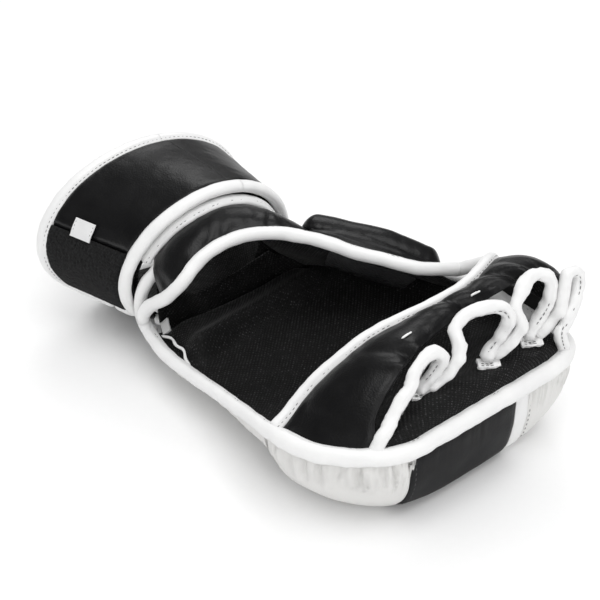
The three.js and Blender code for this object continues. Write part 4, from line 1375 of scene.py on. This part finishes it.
def build_label():
    """Blank cloth label standing at the seam, with a soft curl and stitched short ends."""
    corners, _ = welded("blank_label")
    middle_x = corners[:, 0].mean()
    edges = []
    for edge in (corners[corners[:, 0] < middle_x], corners[corners[:, 0] >= middle_x]):
        turn = np.arctan2(edge[:, 2] - AXIS_POINT.z, AXIS_POINT.y - edge[:, 1])
        edges.append(edge[np.argsort(-turn)].reshape(-1, 2, 3).mean(1))
    cloth = refine(np.array(edges), 30, 34)
    normals = grid_normals(cloth, FROM_WRIST)
    curl = 0.3 * MM + 0.2 * MM * field(cloth, 9 * MM, 250)
    cloth = cloth + normals * np.broadcast_to(curl, cloth.shape[:2])[..., None]
    sheet("blank_label", cloth, FROM_WRIST, LABEL, 0.5, "strap_end")
    rows_of_thread = []
    for k, row in enumerate((2, -3)):
        name = f"blank_label.thread_{k}"
        size = {"step": 2 * MM, "length": 1.2 * MM, "radius": 0.2 * MM}
        rows_of_thread.append(stitches(name, cloth[row], normals[row], THREAD_DARK, **size))
    follow(rows_of_thread, "strap_end")


# ---------------------------------------------------------------- studio
WORLD_STRENGTH = 0.80
WORLD_MIRRORED = 0.10
LIGHTS = [
    ("key_softbox", (-1.0, 0.9, 1.2), (0.8, 0.8), 5.5),
    ("top_softbox", (0.2, -0.1, 1.6), (1.2, 0.9), 9.0),
    ("fill_softbox", (0.9, -0.5, 0.7), (0.5, 0.5), 1.8),
]
CAMERA_AZIMUTH = 46.0
CAMERA_ELEVATION = 35.0
CAMERA_DISTANCE = 0.81
CAMERA_LENS = 99.0
CAMERA_TARGET = Vector((-0.0864, 0, 0.0378))
CAMERA_SHIFT = (0.04, 0.005)
FLOOR_HALF = 3.0
LIGHTS_AIM = (-0.05, 0, 0.03)


def build_floor():
    """The plain floor the object rests on."""
    mesh = bpy.data.meshes.new("floor")
    corners = [(x * FLOOR_HALF, y * FLOOR_HALF, 0) for x, y in ((-1, -1), (1, -1), (1, 1), (-1, 1))]
    mesh.from_pydata(corners, [], [(0, 1, 2, 3)])
    floor = bpy.data.objects.new("floor", mesh)
    floor.location.z = min(cad_bounds[0].z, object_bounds()[0].z) - 0.05 * MM
    mesh.materials.append(floor_paper("floor_paper"))
    bpy.context.scene.collection.objects.link(floor)


def add_light(name, place, target, size, watts):
    """A softbox turned to its target."""
    data = bpy.data.lights.new(name, "AREA")
    data.shape = "RECTANGLE"
    data.size, data.size_y = size
    data.energy = watts
    lamp = bpy.data.objects.new(name, data)
    lamp.location = place
    lamp.rotation_euler = (Vector(target) - Vector(place)).to_track_quat("-Z", "Y").to_euler()
    bpy.context.scene.collection.objects.link(lamp)


def build_lights():
    """Even white surroundings, dimmer where leather would mirror them, and three softboxes."""
    world = bpy.data.worlds.new("studio")
    world.use_nodes = True
    tree = world.node_tree
    sky = tree.nodes["Background"]
    sky.inputs["Color"].default_value = (1, 1, 1, 1)
    mirrored = add_node(tree, "ShaderNodeLightPath").outputs["Is Glossy Ray"]
    strength = remap(tree, mirrored, 0.0, 1.0, WORLD_STRENGTH, WORLD_MIRRORED)
    tree.links.new(strength, sky.inputs["Strength"])
    bpy.context.scene.world = world
    for name, place, size, watts in LIGHTS:
        add_light(name, place, LIGHTS_AIM, size, watts)
    bpy.context.scene.view_settings.view_transform = "Standard"


def build_camera():
    """Camera at the photograph's viewing angle."""
    data = bpy.data.cameras.new("camera")
    data.lens = CAMERA_LENS
    data.sensor_width = 36
    data.shift_x, data.shift_y = CAMERA_SHIFT
    camera = bpy.data.objects.new("camera", data)
    a, e = math.radians(CAMERA_AZIMUTH), math.radians(CAMERA_ELEVATION)
    back = Vector((math.sin(a) * math.cos(e), -math.cos(a) * math.cos(e), math.sin(e)))
    camera.location = CAMERA_TARGET + back * CAMERA_DISTANCE
    camera.rotation_euler = (-back).to_track_quat("-Z", "Y").to_euler()
    bpy.context.scene.collection.objects.link(camera)
    bpy.context.scene.camera = camera


build_rims()
build_pad()
build_hand_shell()
build_lining()
build_heel_tab()
build_palm_band()
build_finger_openings()
build_wrist()
build_inner_walls()
build_thumb_guard()
build_cuff()
build_strap()
build_floor()
build_lights()
build_camera()
